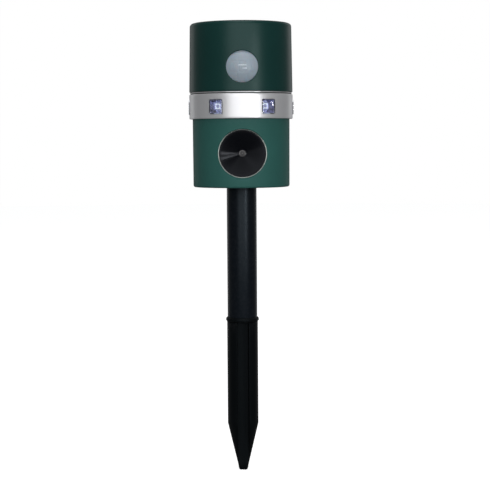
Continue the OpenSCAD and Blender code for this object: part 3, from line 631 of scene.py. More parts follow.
def buildHead():
    z0, z1 = low("head_seal").z, high("head_shell").z
    recess = high("solar_cover").x + 0.05
    floorZ = low("solar_panel").z
    lens = middle("pir_lens").z
    inner, edge = head["upperRadius"] - head["wall"], head["lowerEdge"]

    def outerAt(z):
        share = (z - z0) / (z1 - head["topRounding"] - z0)
        return head["lowerRadius"] + (head["upperRadius"] - head["lowerRadius"]) * share

    rows = spacedLevels(lens - head["lensBlock"], lens + head["lensBlock"], 26)
    points = [(0, floorZ), (recess * 0.5, floorZ), (recess, floorZ)]
    points += softCorners([(recess, floorZ, 0), (recess, z1, head["recessEdge"]),
                           (outerAt(z1), z1, head["topRounding"]), (outerAt(z1 - 12), z1 - 12, 0)],
                          steps=8, closed=False)[1:-1]
    start = len(points)
    points += [(outerAt(z), z) for z in reversed(rows)]
    end = len(points) - 1
    points += [(outerAt(z0 + edge + 1), z0 + edge + 1)]
    points += arcPoints((head["lowerRadius"] - edge, z0 + edge), edge, 0, -90, 4)
    points += [(inner, z0)]
    startIn = len(points)
    points += [(inner, z) for z in rows]
    endIn = len(points) - 1
    roof = floorZ - head["roof"]
    points += [(inner, roof - 2), (inner - 2, roof), (0, roof)]
    opening = roundOpening(0, head["lensSpan"], lens, circleOutline(head["lensOpening"]), head["lensEase"],
                           (start, end), (endIn, startIn), outerAt, inner)
    bm = bmesh.new()
    makeShell(bm, points, spacedLevels(-180, 178.5, 239), [opening])
    tall, reach = head["ribHeight"], head["postRing"] + head["postRadius"]
    ribLow = z0 + 4.3
    for a in head["postAngles"]:
        post(bm, head["postRadius"], head["postBore"], high("main_board").z + 0.02, ribLow + tall,
             turned(a) @ moved(0, -head["postRing"], 0))
        softBox(bm, (head["ribThickness"], inner - reach + 0.6, tall), 0.1,
                turned(a) @ moved(0, -(reach + inner) / 2, ribLow + tall / 2))
    for side in (-1, 1):
        x = side * head["earSpread"]
        post(bm, head["bossRadius"], head["bossBore"], -low("sensor_shroud").y - 4.4,
             math.sqrt(inner ** 2 - x * x) + 0.4, facing(x, 0, lens))
    settle("headShell", bm, unitBody, "head_green", ["head_shell"])


band = {
    "radius": 43.15,
    "inner": 40.75,
    "neckInset": 0.6,
    "neckHeight": 1.8,
    "lowerEdge": 0.7,          # rounding of the lower corner
    "upperEdge": 0.75,
    "jointDepth": 2.4,         # the thin joints above and below the neck
    "jointHeight": 0.75,
    "paintedShadeInset": 0.35,         # black rings in the two joints, a dark fill that paints the shade there
    "spigotOuter": 39.65,      # ring that goes up inside the head
    "spigotInner": 37.9,
    "spigotHeight": 3.3,
    "ledgeInner": 39.3,        # ledge that rests on the housing's top edge
    "housingSocket": 40.45,
    "windowGap": 0.08,         # joint round each window
    "windowEase": 0.3,
    "windowAngles": [30, 90, 150, 210, 270, 330],
    "windowBlock": 7.4,        # half height of the grid block at each window
    "windowSpan": 10,          # and its half width in degrees
}


def buildBand():
    z0, neck = low("led_band").z, low("head_seal").z
    z1 = neck - band["neckHeight"]
    r, inner = band["radius"], band["inner"]
    window = middle("led_window_2")
    half = (high("led_window_2").z - low("led_window_2").z) / 2 - 0.8 + band["windowGap"]
    rows = spacedLevels(window.z - band["windowBlock"], window.z + band["windowBlock"], 20)
    lower, upper = band["lowerEdge"], band["upperEdge"]
    points = arcPoints((r - lower, z0 + lower), lower, -90, 0, 5)
    start = len(points)
    points += [(r, z) for z in rows]
    end = len(points) - 1
    points += arcPoints((r - upper, z1 - upper), upper, 0, 90, 4)
    neckRadius = r - band["neckInset"]
    jointIn, jointTop = neckRadius - band["jointDepth"], z1 + band["jointHeight"]
    spigotTop = neck + band["spigotHeight"]
    points += [(jointIn, z1), (jointIn, jointTop), (neckRadius - 0.2, jointTop),
               (neckRadius, jointTop + 0.15), (neckRadius, neck - 0.5), (neckRadius - 0.2, neck - 0.3),
               (jointIn, neck - 0.3),
               (band["spigotOuter"], neck), (band["spigotOuter"], spigotTop),
               (band["spigotInner"], spigotTop), (band["spigotInner"], z1 - 1.6), (inner, z1 - 2.6)]
    startIn = len(points)
    points += [(inner, z) for z in reversed(rows)]
    endIn = len(points) - 1
    points += [(inner, z0 + 2.2), (band["ledgeInner"], z0 + 2.2), (band["ledgeInner"], z0 + 1.2),
               (band["housingSocket"], z0 + 1.2), (band["housingSocket"], z0)]
    openings = [roundOpening(a, band["windowSpan"], window.z, squareOutline(half, half, 12),
                             band["windowEase"], (start, end), (endIn, startIn), lambda v: r, inner)
                for a in band["windowAngles"]]
    bm = bmesh.new()
    # black rings fill both joints to paint the shade in them
    face, back = neckRadius - band["paintedShadeInset"], neckRadius - 2.3
    for bottom, top in ((z1 + 0.01, z1 + 0.73), (neck - 0.29, neck - 0.01)):
        lathe(bm, [(back, bottom), (face, bottom), (face, top), (back, top)], 240)
    settle("neckPaintedShadeRings", bm, unitBody, "seal_rubber")
    bm = bmesh.new()
    makeShell(bm, points, spacedLevels(-180, 179, 359), openings, closed=True)
    settle("ledBand", bm, unitBody, "band_silver", ["led_band"])


windows = {
    "faceThickness": 1.0,
    "corner": 0.9,
    "frame": 0.75,             # moulded frame round each clear face
    "ease": 0.28,
    "faceSink": 0.18,          # the clear face lies this far behind its frame
    "reflectorWall": 0.35,
    "throat": 5.2,
}


def buildWindow(i, angle):
    box = "led_window_2"
    width = high(box).z - low(box).z - 1.6
    face, flangeFace = high(box).x, low(box).x + 1
    corner, frameWidth, ease = windows["corner"], windows["frame"], windows["ease"]
    outline = boxOutline(width, width, corner)
    inner = boxOutline(width - 2 * frameWidth, width - 2 * frameWidth, corner * 0.6)
    flange = boxOutline(width + 1.6, width + 1.6, corner)
    place = facing(0, 0, middle(box).z, angle)
    lip = 1 - 2 * (ease + 0.55) / width
    bm = bmesh.new()
    rings = stack(bm, [(inner, 1, flangeFace - 1), (flange, 1, flangeFace - 1), (flange, 1, flangeFace),
                       (outline, 1, flangeFace), (outline, 1, face - ease),
                       (outline, 1 - 0.36 * ease / width, face - 0.1), (outline, 1 - 2 * ease / width, face),
                       (outline, lip, face), (outline, lip - 0.03, face - windows["faceSink"])], place)
    back = stack(bm, [(inner, 1, face - windows["faceThickness"])], place)
    joinRings(bm, back + rings)
    capEnds(bm, back + rings)
    settle(f"flashWindow{i}", bm, unitBody, "window_clear", [f"led_window_{i}"], sharp=40)


def buildReflector(i, angle):
    box = "led_reflector_2"
    back, mouth = low(box).x, high(box).x
    width, throat = high(box).z - low(box).z, windows["throat"]
    wall = 2 * windows["reflectorWall"]
    sections = [(width, back), (width, mouth), (width - wall, mouth), (throat + 1.1, back + 0.9),
                (throat, back + 0.6), (throat, back)]
    bm = bmesh.new()
    rings = stack(bm, [(boxOutline(side, side, 0.45), 1, depth) for side, depth in sections],
                  facing(0, 0, middle(box).z, angle))
    joinRings(bm, rings, closed=True)
    settle(f"flashReflector{i}", bm, unitBody, "reflector_silver", [f"led_reflector_{i}"], sharp=20)


flashLamp = {
    "board": (9.6, 1.0),       # width and thickness
    "package": 5.0,
    "pad": (0.6, 3.2, 0.5),
    "padSpread": 2.7,
    "domeRadius": 1.8,
}


def buildFlashLamp(i, angle):
    box = "flash_led_2"
    z = middle("led_window_2").z
    lowZ, highZ = low(box).z, high(box).z
    back, front = low(box).x, high(box).x
    wide, thick = flashLamp["board"]
    bm = bmesh.new()
    softBox(bm, (wide, highZ - lowZ, thick), 0.12, facing(0, back + thick / 2, (lowZ + highZ) / 2, angle))
    bodyDepth = front - 0.3 - (back + thick)
    softBox(bm, (flashLamp["package"], flashLamp["package"], bodyDepth), 0.2,
            facing(0, back + thick + bodyDepth / 2, z, angle))
    for side in (-1, 1):  # soldered end pads
        softBox(bm, flashLamp["pad"], 0.1, facing(side * flashLamp["padSpread"], back + 1.25, z, angle))
    settle(f"flashLamp{i}", bm, unitBody, "flash_white", [f"flash_led_{i}"])
    r = flashLamp["domeRadius"]
    dome = [(0, 0), (r, 0), (r - 0.1, 0.12)]
    dome += [((r - 0.2) * math.cos(a), 0.12 + 0.24 * math.sin(a)) for a in (0.3, 0.7, 1.1)]
    turnedPiece(f"flashDome{i}", dome + [(0, 0.34)], 40, False, facing(0, front - 0.35, z, angle),
                unitBody, "flash_white", look=flashGel)


lensShape = {
    "ribs": [(0.1, 0.95, 6.6), (1.9, -1.6, 3.6)],   # moulded ribs at the middle, drawn pale as a painted highlight: x, height, length
    "radius": 12.85,
    "bulge": 4.3,
    "wall": 0.8,
    "ringPitch": 0.9,          # moulded rings inside each lens segment
    "ringDepth": 0.13,
    "seamDepth": 0.22,         # shallow seams between the segments
    "rowEdge": 4.3,            # height of the seams between the three rows
    "segmentWidths": (7.2, 5.2, 8.4),
    "rowCentres": (8.2, 0.0, -8.2),
    "segments": 144,
}


def buildLens():
    front, backY = -low("pir_lens").y, -high("pir_lens").y
    r, bulge, wall = lensShape["radius"], lensShape["bulge"], lensShape["wall"]
    ball = (r * r + bulge * bulge) / (2 * bulge)
    centre = front - ball
    place = facing(0, 0, middle("pir_lens").z)
    edge = lensShape["rowEdge"]
    bm = bmesh.new()

    def relief(x, y):
        # three rows of lens segments, each with its own rings
        row = 0 if y > edge else (2 if y < -edge else 1)
        wide = lensShape["segmentWidths"][row]
        cx, cy = round(x / wide) * wide, lensShape["rowCentres"][row]
        saw = (math.hypot(x - cx, y - cy) / lensShape["ringPitch"]) % 1.0
        seam = min(abs(abs(y) - edge), abs(abs(x - cx) - wide / 2))
        return -lensShape["ringDepth"] * saw - lensShape["seamDepth"] * max(0.0, 1 - seam / 0.3)

    def outside(q, x, y):
        fade = min(1.0, max(0.0, (r - 0.7 - q) / 0.6))
        return centre + math.sqrt(ball * ball - q * q) + relief(x, y) * fade

    def circle(q, depthAt):
        around = [2 * math.pi * k / lensShape["segments"] for k in range(lensShape["segments"] if q else 1)]
        spots = [(q * math.cos(a), q * math.sin(a)) for a in around]
        return [bm.verts.new(place @ Vector((x, y, depthAt(q, x, y)))) for x, y in spots]

    rings = [circle(q, outside) for q in spacedLevels(0, r, 46)]
    flangeR = (high("pir_lens").x - low("pir_lens").x) / 2
    for q, depth in ((r, backY + 1.2), (flangeR, backY + 1.2), (flangeR, backY), (r - wall, backY),
                     (r - wall, front - bulge)):
        rings.append(circle(q, lambda q, x, y, d=depth: d))
    for i in range(1, 9):
        rings.append(circle((r - wall) * (1 - i / 8),
                            lambda q, x, y: centre + math.sqrt((ball - wall) ** 2 - q * q)))
    joinRings(bm, rings)
    settle("motionLens", bm, unitBody, "lens_milky", ["pir_lens"], sharp=50)
    # the ribs are real bumps; their pale finish is a painted highlight
    bm = bmesh.new()
    for x, y, length in lensShape["ribs"]:
        depth = centre + math.sqrt(ball * ball - x * x - y * y) - 0.04
        softBox(bm, (length, 0.75, 0.35), 0.12, place @ moved(x, y, depth - 0.12))
    settle("lensRibs", bm, unitBody, "lens_milky", look=lensRibPaintedHighlight)


housing = {
    "topRadius": 40.5,
    "draft": 0.2,
    "wall": 2.6,
    "floor": 3.0,
    "lowerEdge": 1.6,
    "panelInset": 3.5,         # how far the flat back panel is set in
    "panelWall": 4.5,
    "panelBelow": 6.0,         # distance of the panel from the band
    "panelAbove": 5.0,         # and from the underside
    "speakerOpening": 20.05,
    "speakerEase": 0.3,
    "speakerBlock": 22.6,      # half height of the grid block round the speaker
    "speakerSpan": 34.5,       # and its half width in degrees
    "openingDepth": 32.4,
    "socketDepth": 20.3,
    "socketWall": 2.8,
    "poleGap": 0.06,
    "screwRing": 31.5,
    "screwAngles": [60, 120, 240, 300],
    "screwWell": 3.3,          # bore of the deep screw wells in the underside
    "screwTube": 4.4,
    "screwSeat": 46.0,
    "seatWall": 2.4,           # ring the speaker is pressed against
    "seatBack": 33.2,
    "underFlat": 24,           # radius of the flat middle of the underside
    "flapRecess": (14.6, 10.2),
    "recessDepth": 2.4,
    "portHole": (5.7, 3.4),    # half width and half height
    "buttonHole": 4.3,
    "shaftHole": 3.3,
    "rearEase": 0.25,
}


def buildHousing():
    z0, z1 = low("lower_housing").z, low("led_band").z
    top = high("lower_housing").z
    speaker = middle("speaker_cone").z
    r1 = housing["topRadius"]
    r0 = r1 - housing["draft"]
    inner = r1 - housing["wall"]
    flatY = r1 - housing["panelInset"]
    flatIn = flatY - housing["panelWall"]
    flatLow, flatHigh = z0 + housing["panelAbove"], z1 - housing["panelBelow"]
    socket = high("pole_tube").x + housing["poleGap"]
    ease = housing["lowerEdge"]

    def outerAt(z):
        return r0 + (r1 - r0) * (z - z0 - ease) / (z1 - z0 - ease)

    rows = spacedLevels(speaker - housing["speakerBlock"], speaker + housing["speakerBlock"], 32)
    for edge in (flatLow, flatHigh):  # the nearest row moves onto each edge of the flat panel
        rows = [edge if abs(z - edge) < 0.71 else z for z in rows]
    floorTop = z0 + housing["floor"]
    socketTop = z0 + housing["socketDepth"]
    points = [(0, socketTop), (socket, socketTop), (socket, z0 + 0.4), (socket + 0.4, z0),
              (housing["underFlat"], z0)]
    points += arcPoints((r0 - ease, z0 + ease), ease, -90, 0, 6)
    start = len(points)
    points += [(outerAt(z), z) for z in rows]
    end = len(points) - 1
    points += [(r1, z1 - 0.15), (r1 - 0.15, z1), (inner + 1.3, z1), (inner + 1.3, top), (inner, top)]
    startIn = len(points)
    points += [(inner, z) for z in reversed(rows)]
    endIn = len(points) - 1
    roof = socketTop + 2.2
    wallOut = socket + housing["socketWall"]
    points += [(inner, floorTop), (wallOut, floorTop), (wallOut, roof), (0, roof)]

    def nearestRow(z):
        return min(range(len(rows)), key=lambda i: abs(rows[i] - z))

    def rearOpening(centre, halfWidth, halfHeight, outline, steps=()):
        sides = [180 + math.degrees(math.asin((side * halfWidth - centre.x) / outerAt(centre.z)))
                 for side in (-1, 1)]
        ends = [centre.z - halfHeight, centre.z + halfHeight]
        return {
            "angle": 180, "from": wrapped(sides[0]), "to": wrapped(sides[1]),
            "centre": (-centre.x, centre.z), "outline": outline, "ease": housing["rearEase"], "steps": steps,
            "outer": [start + nearestRow(z) for z in ends], "inner": [endIn - nearestRow(z) for z in ends],
            "skin": lambda u, v: flatY, "innerSkin": lambda u, v: flatIn,
        }

    flat = {"low": flatLow - 0.01, "high": flatHigh + 0.01, "outer": flatY, "inner": flatIn,
            "innerStart": startIn}
    bore = housing["speakerOpening"]
    openings = [roundOpening(0, housing["speakerSpan"], speaker, circleOutline(bore), housing["speakerEase"],
                             (start, end), (endIn, startIn), outerAt, inner,
                             [(circleOutline(bore), housing["openingDepth"])])]
    portShape = squareOutline(*housing["portHole"], 6)
    recessShape = squareOutline(*[size / 2 for size in housing["flapRecess"]], 14)
    recessFloor = flatY - housing["recessDepth"]
    openings += [
        rearOpening(middle("power_button"), 6.0, 6.0, circleOutline(housing["buttonHole"])),
        rearOpening(middle("mode_dial"), 6.0, 6.0, circleOutline(housing["shaftHole"])),
        rearOpening(middle("charge_flap"), 8.4, 6.6, recessShape,
                    [(recessShape, recessFloor), (portShape, recessFloor)]),
    ]
    bm = bmesh.new()
    makeShell(bm, points, spacedLevels(-180, 178.5, 239), openings, flat=flat)
    well, tube, seat = housing["screwWell"], housing["screwTube"], z0 + housing["screwSeat"]
    spots = ringSpots(housing["screwRing"], housing["screwAngles"])
    for x, y in spots:
        lathe(bm, [(well, floorTop - 0.4), (tube, floorTop - 0.4), (tube, z1 + 0.45), (1.7, z1 + 0.45),
                   (1.7, seat), (well, seat)], 48, True, moved(x, y, 0))
    seatEdge, seatOut = -low("speaker_gasket").y, bore + housing["seatWall"]
    seatBack = housing["seatBack"]
    lathe(bm, [(bore, seatEdge), (seatOut, seatEdge), (seatOut, seatBack), (bore, seatBack)], 120, True,
          facing(0, 0, speaker))
    piece = settle("speakerHousing", bm, unitBody, "housing_green", ["lower_housing"])
    cutHoles(piece, well, spots, z0 - 2, floorTop - 0.2)


speakerShape = {
    "coneDepth": 4.5,
    "coneRadius": 18.85,
    "capRadius": 2.8,
    "ridgePitch": 0.5,
    "ridgeHeight": 0.003,
    "rimWidth": 0.6,
}


def buildSpeaker():
    rim, cone = "speaker_rim", "speaker_cone"
    outer = (high(rim).x - low(rim).x) / 2
    front, back = -low(rim).y, -high(rim).y
    place = facing(0, 0, middle(cone).z)
    w = speakerShape["rimWidth"]
    section = softCorners([(outer - w, back, 0.05), (outer, back, 0.05), (outer, front - 0.05, 0.42),
                           (outer - w, front - 0.05, 0.42)], steps=5)
    turnedPiece("speakerRim", section, 160, True, place, unitBody, "rim_metal", [rim])

    r, depth, cap = speakerShape["coneRadius"], speakerShape["coneDepth"], speakerShape["capRadius"]
    profile = [(r, back - 0.5), (r, back - 0.02), (r - 0.7, back - 0.02), (r - 0.9, back - 0.1)]
    span = r - 1.0 - cap
    count = int(span / speakerShape["ridgePitch"] * 4)
    for i in range(count + 1):
        q = r - 1.0 - span * i / count
        fall = depth * ((r - 1.0 - q) / span) ** 1.12
        ridge = speakerShape["ridgeHeight"] * math.cos(2 * math.pi * (r - q) / speakerShape["ridgePitch"])
        profile.append((q, back - 0.1 - fall + ridge))
    profile += [(0.6, back - depth - 0.12), (0.6, back - depth - 0.5), (cap, back - depth - 0.55),
                (r - 1.0, back - 0.6)]
    turnedPiece("speakerCone", profile, 192, True, place, unitBody, "cone_black", [cone], sharp=60)

    base = back - depth
    ring = [(0, base - 0.5), (cap - 0.05, base - 0.5), (cap - 0.05, base + 0.45)]
    ring += [(cap - 0.15, base + 0.6), (cap - 0.3, base + 0.65), (cap - 0.75, base + 0.65)]
    ring += [(cap - 0.9, base + 0.55), (1.45, base - 0.08), (1.25, base - 0.08)]
    ring += [(0.8, base + 0.6), (0.65, base + 0.72), (0.4, base + 0.75), (0, base + 0.76)]
    turnedPiece("speakerCap", ring, 64, False, place, unitBody, "cone_black", ["speaker_cap"], look=capBlack)


stakeShape = {
    "radius": 13.0,
    "collar": 13.85,
    "collarHeight": 3.9,
    "pointLength": 40.6,
    "tipRadius": 4.3,
    "groove": 10.0,
    "web": 7.0,
    "grooveFillet": 0.9,
    "edgeFillet": 0.7,
    "beadInner": 12.52,        # bore of the bead round the foot of the pole
    "spigot": 10.95,           # plug inside the pole
    "notch": 0.9,              # depth of the gate notch across the blunt end
}


def stakeSection(radius):
    # outline of the stake: round sides with a groove down the front and the back
    s = stakeShape
    halfGroove, halfWeb = s["groove"] / 2, s["web"] / 2
    if radius > math.hypot(halfGroove, halfWeb) + 0.05:
        cornerX, cornerY = halfGroove, math.sqrt(radius ** 2 - halfGroove ** 2)
    else:
        flatHalf = min(halfWeb, radius * 0.8)
        cornerX, cornerY = math.sqrt(radius ** 2 - flatHalf ** 2), flatHalf + 0.02
        halfWeb = flatHalf
    start = math.degrees(math.atan2(cornerY, cornerX))
    right = arcPoints((0, 0), radius, -start + 3, start - 3, 24)
    back = softCorners([
        (*right[-1], 0), (cornerX, cornerY, min(s["edgeFillet"], (cornerY - halfWeb) * 0.45 + 0.02)),
        (cornerX, halfWeb, min(s["grooveFillet"], (cornerY - halfWeb) * 0.45 + 0.01)), (0, halfWeb, 0)],
        closed=False)[1:-1]
    backLeft = [(-x, y) for x, y in reversed(back)]
    left = [(-x, y) for x, y in reversed(right)]
    frontLeft = [(-x, -y) for x, y in back]
    frontRight = [(x, -y) for x, y in reversed(back)]
    return right + back + [(0, halfWeb)] + backLeft + left + frontLeft + [(0, -halfWeb)] + frontRight


def buildStake():
    s = stakeShape
    tip, blunt, shoulder = low("stake").z, s["tipRadius"], low("stake").z + s["pointLength"]
    levels = [(blunt * 0.62, tip), (blunt * 0.8, tip + 0.35), (blunt * 0.93, tip + 1.6), (blunt, tip + 4.1)]
    for z in spacedLevels(tip + 4.1, shoulder, 22)[1:]:
        share = (z - tip - 4.1) / (s["pointLength"] - 4.1)
        levels.append((blunt + (s["radius"] - blunt) * share, z))
    levels += [(s["radius"], z) for z in spacedLevels(shoulder, 0, 12)[1:]]
    bm = bmesh.new()
    rings = stack(bm, [(stakeSection(radius), 1, z) for radius, z in levels])
    for v in rings[0] + rings[1]:
        v.co.z += s["notch"] * math.exp(-((v.co.x + 0.9) / 0.7) ** 2)
    joinRings(bm, rings)
    capEnds(bm, rings)
    top, out, bore = s["collarHeight"], s["collar"], s["beadInner"]
    bead = [(0, 0.3, 0), (12.9, 0.3, 0.1), (out - 0.6, 0.7, 0.5), (out, 1.4, 0.7), (out, top - 0.9, 0.9),
            (out - 0.9, top + 0.15, 0.5), (bore, top + 0.15, 0), (bore, top - 0.02, 0), (0, top - 0.02, 0)]
    lathe(bm, softCorners(bead, closed=False), 128, False)
    plug, spigotTop = s["spigot"], high("stake").z
    lathe(bm, [(0, top - 0.5), (plug, top - 0.5), (plug, spigotTop - 0.6), (plug - 0.6, spigotTop),
               (0, spigotTop)], 96, False)
    settle("groundStake", bm, groundBody, "stake_plastic", ["stake"], sharp=38)


poleWall = 1.5


def buildPole():
    r, z0, z1 = high("pole_tube").x, low("pole_tube").z, high("pole_tube").z
    bore = r - poleWall
    section = softCorners([(bore, z0, 0.2), (r, z0, 0.35), (r, z1, 0.5), (bore, z1, 0.3)])
    turnedPiece("poleTube", section, 160, True, upright, groundBody, "pole_black", ["pole_tube"])


solar = {
    "cellRows": 6,
    "cellGap": 0.5,
    "margin": 1.6,
    "cellDepth": 0.3,
    "corner": 7.0,             # cut-off corners of the panel
    "busWidth": 1.0,
    "busSpread": 0.45,         # as a share of the half width
}


def buildSolar():
    z0, z1 = low("solar_panel").z, high("solar_panel").z
    half, corner, depth = high("solar_panel").x, solar["corner"], solar["cellDepth"]
    cut = half - corner
    outline = [(cut, -half), (half, -cut), (half, cut), (cut, half),
               (-cut, half), (-half, cut), (-half, -cut), (-cut, -half)]
    bm = bmesh.new()
    prism(bm, outline, [(1, z0), (1, z1 - depth - 0.05), (0.996, z1 - depth)])
    settle("solarBoard", bm, unitBody, "solar_cells", ["solar_panel"], look=panelWhite)

    rows, gap, edge = solar["cellRows"], solar["cellGap"], half - solar["margin"]
    pitch = 2 * edge / rows
    bm = bmesh.new()
    for i in range(rows):
        yLow, yHigh = -edge + i * pitch + gap / 2, -edge + (i + 1) * pitch - gap / 2
        reach = min(edge, 2 * half - corner - max(abs(yLow), abs(yHigh)) - solar["margin"])
        softBox(bm, (2 * reach, yHigh - yLow, depth - 0.06), 0.05,
                moved(0, (yLow + yHigh) / 2, z1 - depth / 2 - 0.02))
    settle("solarCells", bm, unitBody, "solar_cells", sharp=40)

    bm = bmesh.new()
    for side in (-1, 1):
        softBox(bm, (solar["busWidth"], 2 * edge - 1, 0.06), 0.0,
                moved(side * half * solar["busSpread"], 0, z1 - 0.02))
    settle("solarBusbars", bm, unitBody, "solar_cells", look=busSilver)

    r = high("solar_cover").x
    bottom, top = low("solar_cover").z, high("solar_cover").z
    section = softCorners([(0, bottom, 0), (r, bottom, 0.1), (r, top, 0.3), (0, top, 0)], closed=False)
    turnedPiece("solarCover", section, 160, False, upright, unitBody, "cover_clear", ["solar_cover"])


controls = {
    "ridges": 28,
    "ridgeDepth": 0.55,
    "pointer": (1.1, 5.2, 0.35),
    "dialDish": 0.35,          # sunk middle of the dial
    "ticks": 5,
    "tickSpread": 240,
    "buttonRadius": 4.0,
    "buttonFlange": 5.0,
    "buttonStem": 1.4,
    "flapThickness": 1.8,
    "flapPin": (0.8, 1.0),     # radius and length of each hinge pin
    "flapLip": (6.0, 1.1, 1.3),
    "flapGrip": (7.5, 0.3, 0.5),
}


def buildDial():
    centre = middle("mode_dial")
    r = (high("mode_dial").x - low("mode_dial").x) / 2
    y0, y1 = low("mode_dial").y, high("mode_dial").y
    place = facing(-centre.x, 0, centre.z, 180)
    ridges, dish = controls["ridges"], y1 - controls["dialDish"]
    levels = [(0.3, y0, 0), (r - 0.15, y0, 0), (r, y0 + 0.2, 0), (r, y0 + 0.9, 0), (r - 0.2, y0 + 1.1, 1),
              (r - 0.35, y1 - 0.9, 1), (r - 0.75, y1 - 0.3, 1), (r - 1.5, y1, 0.15), (r - 2.2, y1, 0),
              (r - 2.6, dish, 0), (0, dish, 0)]
    bm = bmesh.new()
    rings = []
    for q, y, ridged in levels:
        ring = []
        for k in range(ridges * 8 if q else 1):
            a = 2 * math.pi * k / (ridges * 8)
            wave = q - controls["ridgeDepth"] * ridged * (0.5 - 0.5 * math.cos(ridges * a)) ** 2
            ring.append(bm.verts.new(place @ Vector((wave * math.cos(a), wave * math.sin(a), y))))
        rings.append(ring)
    joinRings(bm, rings)
    bm.faces.new(rings[0])
    settle("modeDial", bm, "dial", "dial_black", ["mode_dial"], sharp=35)

    bm = bmesh.new()
    thick = controls["pointer"][2]
    softBox(bm, controls["pointer"], 0.12, place @ moved(0, r * 0.42, dish + thick / 2))
    settle("dialPointer", bm, "dial", "dial_black", look=markWhite)

    bm = bmesh.new()
    for i, turn in enumerate(spacedLevels(-controls["tickSpread"] / 2, controls["tickSpread"] / 2,
                                          controls["ticks"] - 1)):  # raised setting marks round the dial
        softBox(bm, (0.7, 1.8 + 0.5 * (i % 4 == 0), 0.24), 0.08,
                place @ turned(turn) @ moved(0, r + 1.6, y0 - 0.2))
    settle("dialMarks", bm, unitBody, "housing_green", look=markWhite)


def buildButton():
    centre = middle("power_button")
    y0, y1 = low("power_button").y, high("power_button").y
    r, flange, stem = controls["buttonRadius"], controls["buttonFlange"], controls["buttonStem"]
    heights = sorted({v.co.y / mm for v in frame["nodes"]["power_button"].data.vertices})
    flangeY = next(y for y in heights if y > y0 + 1)
    section = [(0, y0), (stem - 0.2, y0), (stem, y0 + 0.2), (stem, flangeY), (flange, flangeY),
               (flange, flangeY + 1), (r, flangeY + 1)]
    section += softCorners([(r, flangeY + 1, 0), (r, y1, 0.6), (2.2, y1, 0.3), (1.6, y1 - 0.35, 0.3),
                            (0, y1 - 0.45, 0)], steps=5, closed=False)[1:]
    turnedPiece("powerButton", section, 72, False, facing(-centre.x, 0, centre.z, 180), "button",
                "button_grey", ["power_button"])


def buildFlap():
    lo, hi = low("charge_flap"), high("charge_flap")
    width, r = hi.x - lo.x, controls["flapThickness"] / 2
    pinRadius, pinLength = controls["flapPin"]
    axis = Vector(((lo.x + hi.x) / 2, lo.y + r, hi.z - r))
    hinge = moved(*axis)
    foot, plateHalf = lo.z - axis.z, width / 2 - pinLength
    outline = softCorners([(-r, 0, 0), (-r, foot, 0.35), (r, foot, 0.35), (r, 0, 0)], steps=3, closed=False)
    outline += arcPoints((0, 0), r, 0, 180, 10)[1:-1]
    bm = bmesh.new()
    prism(bm, outline, [(1, -plateHalf), (1, plateHalf)],
          hinge @ Matrix(((0, 0, 1, 0), (1, 0, 0, 0), (0, 1, 0, 0), (0, 0, 0, 1))))
    pin = [(0, -width / 2, 0), (pinRadius, -width / 2, 0.15), (pinRadius, width / 2, 0.15), (0, width / 2, 0)]
    lathe(bm, softCorners(pin, steps=3, closed=False), 24, False,
          hinge @ turned(90, "Y"))
    face = axis.y + r
    softBox(bm, controls["flapLip"], 0.3, moved(axis.x, face + 0.35, lo.z + 0.75))
    for k in (-1, 1):  # two shallow grip ribs
        softBox(bm, controls["flapGrip"], 0.1,
                moved(axis.x, face + 0.05, lo.z + 4.4 + k * 0.9))
    settle("portFlap", bm, "flap", "flap_rubber", ["charge_flap"])


buildHead()
buildBand()
for number, windowAngle in enumerate(band["windowAngles"], 1):
    buildWindow(number, windowAngle)
    buildReflector(number, windowAngle)
    buildFlashLamp(number, windowAngle)
buildLens()
print("head and band built")
buildHousing()
buildSpeaker()
buildPole()
buildStake()
buildSolar()
buildDial()
buildButton()
buildFlap()
print("housing, pole and controls built")


studio = {
    "worldLight": 0.16,
    "frontWidth": 1.9, "frontHeight": 1.5, "frontPower": 16.5, "frontDistance": 1.9,
    "frontTurn": -4.0,         # degrees the big front light sits to the left
    "topSize": 1.0, "topPower": 9.0,
    "glintTurn": 31.0, "glintHeights": (0.105, 0.33), "glintPower": 2.7,
    "rimWidth": 0.7, "rimHeight": 1.6, "rimPower": 1.8, "rimTurn": 142.0,
    "floorRadius": 5.0,
    "wallHeight": 8.0,
}


def areaLight(name, place, target, width, height, power, colour=(1, 1, 1)):
    lamp = bpy.data.lights.new(name, "AREA")
    lamp.shape = "RECTANGLE"
    lamp.size, lamp.size_y = width, height
    lamp.energy = power
    lamp.color = colour
    made = bpy.data.objects.new(name, lamp)
    bpy.context.scene.collection.objects.link(made)
    made.location = place
    made.rotation_euler = (Vector(target) - Vector(place)).to_track_quat("-Z", "Y").to_euler()
    made.visible_camera = False


def plainMaterial(name, colour, glow):
    made = bpy.data.materials.new(name)
    made.use_nodes = True
    values = {"Base Color": rgba(colour), "Roughness": 0.9, "Specular IOR Level": 0.1,
              "Emission Color": (1, 1, 1, 1), "Emission Strength": glow}
    for label, value in values.items():
        made.node_tree.nodes["Principled BSDF"].inputs[label].default_value = value
    return made


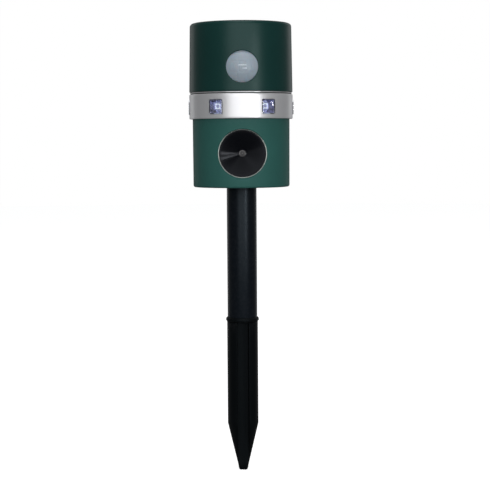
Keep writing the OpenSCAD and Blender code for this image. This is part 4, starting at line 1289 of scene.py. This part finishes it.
def buildStudio():
    floorZ, radius = cadBox[0][2] - 0.0004, studio["floorRadius"]
    bm = bmesh.new()
    bmesh.ops.create_circle(bm, cap_ends=True, segments=96, radius=radius)
    floor = newPiece("studioFloor", bm)
    floor.location.z = floorZ
    floorWhite = plainMaterial("floorWhite", (0.8, 0.8, 0.8), 0.86)
    floor.data.materials.append(floorWhite)
    bm = bmesh.new()
    bmesh.ops.create_cone(bm, cap_ends=False, segments=96, radius1=radius * 0.98, radius2=radius * 0.98,
                          depth=studio["wallHeight"])
    wall = newPiece("studioWall", bm)
    wall.location.z = floorZ + studio["wallHeight"] / 2 - 0.1
    wall.data.materials.append(plainMaterial("wallWhite", (0, 0, 0), 1.0))
    for ray in ("visible_diffuse", "visible_glossy", "visible_transmission", "visible_shadow"):
        setattr(wall, ray, False)
    floor.visible_diffuse = floor.visible_glossy = False
    tree = floorWhite.node_tree
    fromAbove = maths(tree, "SUBTRACT", 1.0, node(tree, "NewGeometry").outputs["Backfacing"])
    tree.links.new(fromAbove, tree.nodes["Principled BSDF"].inputs["Alpha"])

    world = bpy.data.worlds.new("studio")
    bpy.context.scene.world = world
    world.use_nodes = True
    sky = world.node_tree.nodes["Background"]
    sky.inputs["Color"].default_value = (0.97, 0.99, 1.0, 1.0)
    sky.inputs["Strength"].default_value = studio["worldLight"]
    target = (0, 0, 0.15)

    def around(turn, distance, height):
        a = math.radians(turn)
        return (distance * math.sin(a), -distance * math.cos(a), height)

    areaLight("frontBox", around(studio["frontTurn"], studio["frontDistance"], 0.55), target,
              studio["frontWidth"], studio["frontHeight"], studio["frontPower"])
    areaLight("topBox", (0, -0.5, 1.8), target, studio["topSize"], studio["topSize"], studio["topPower"])
    for height in studio["glintHeights"]:  # two small lights that draw the streaks in the speaker cone
        areaLight("glint", around(studio["glintTurn"], 1.9, height), (0, 0, 0.142), 0.35, 0.09,
                  studio["glintPower"])
    for side in (-1, 1):
        areaLight("rimBox", around(side * studio["rimTurn"], 1.7, 0.35), target,
                  studio["rimWidth"], studio["rimHeight"], studio["rimPower"])


view = {
    "distance": 1.168,         # metres from the axis
    "height": 0.154,
    "side": -1.5,              # degrees round to the left
    "pitch": -4.37,
    "roll": -0.39,
    "pan": -0.125,
    "lens": 102.1,
}


def buildCamera():
    lens = bpy.data.cameras.new("camera")
    lens.lens = view["lens"]
    lens.sensor_width = 36
    lens.dof.use_dof = False
    camera = bpy.data.objects.new("camera", lens)
    bpy.context.scene.collection.objects.link(camera)
    a = math.radians(view["side"])
    camera.location = (view["distance"] * math.sin(a), -view["distance"] * math.cos(a), view["height"])
    aim = turned(view["side"] + view["pan"]) @ turned(90 + view["pitch"], "X") @ turned(view["roll"])
    camera.rotation_euler = aim.to_euler()
    bpy.context.scene.camera = camera


buildStudio()
buildCamera()
bpy.context.scene.view_settings.view_transform = "Standard"
print("studio ready")
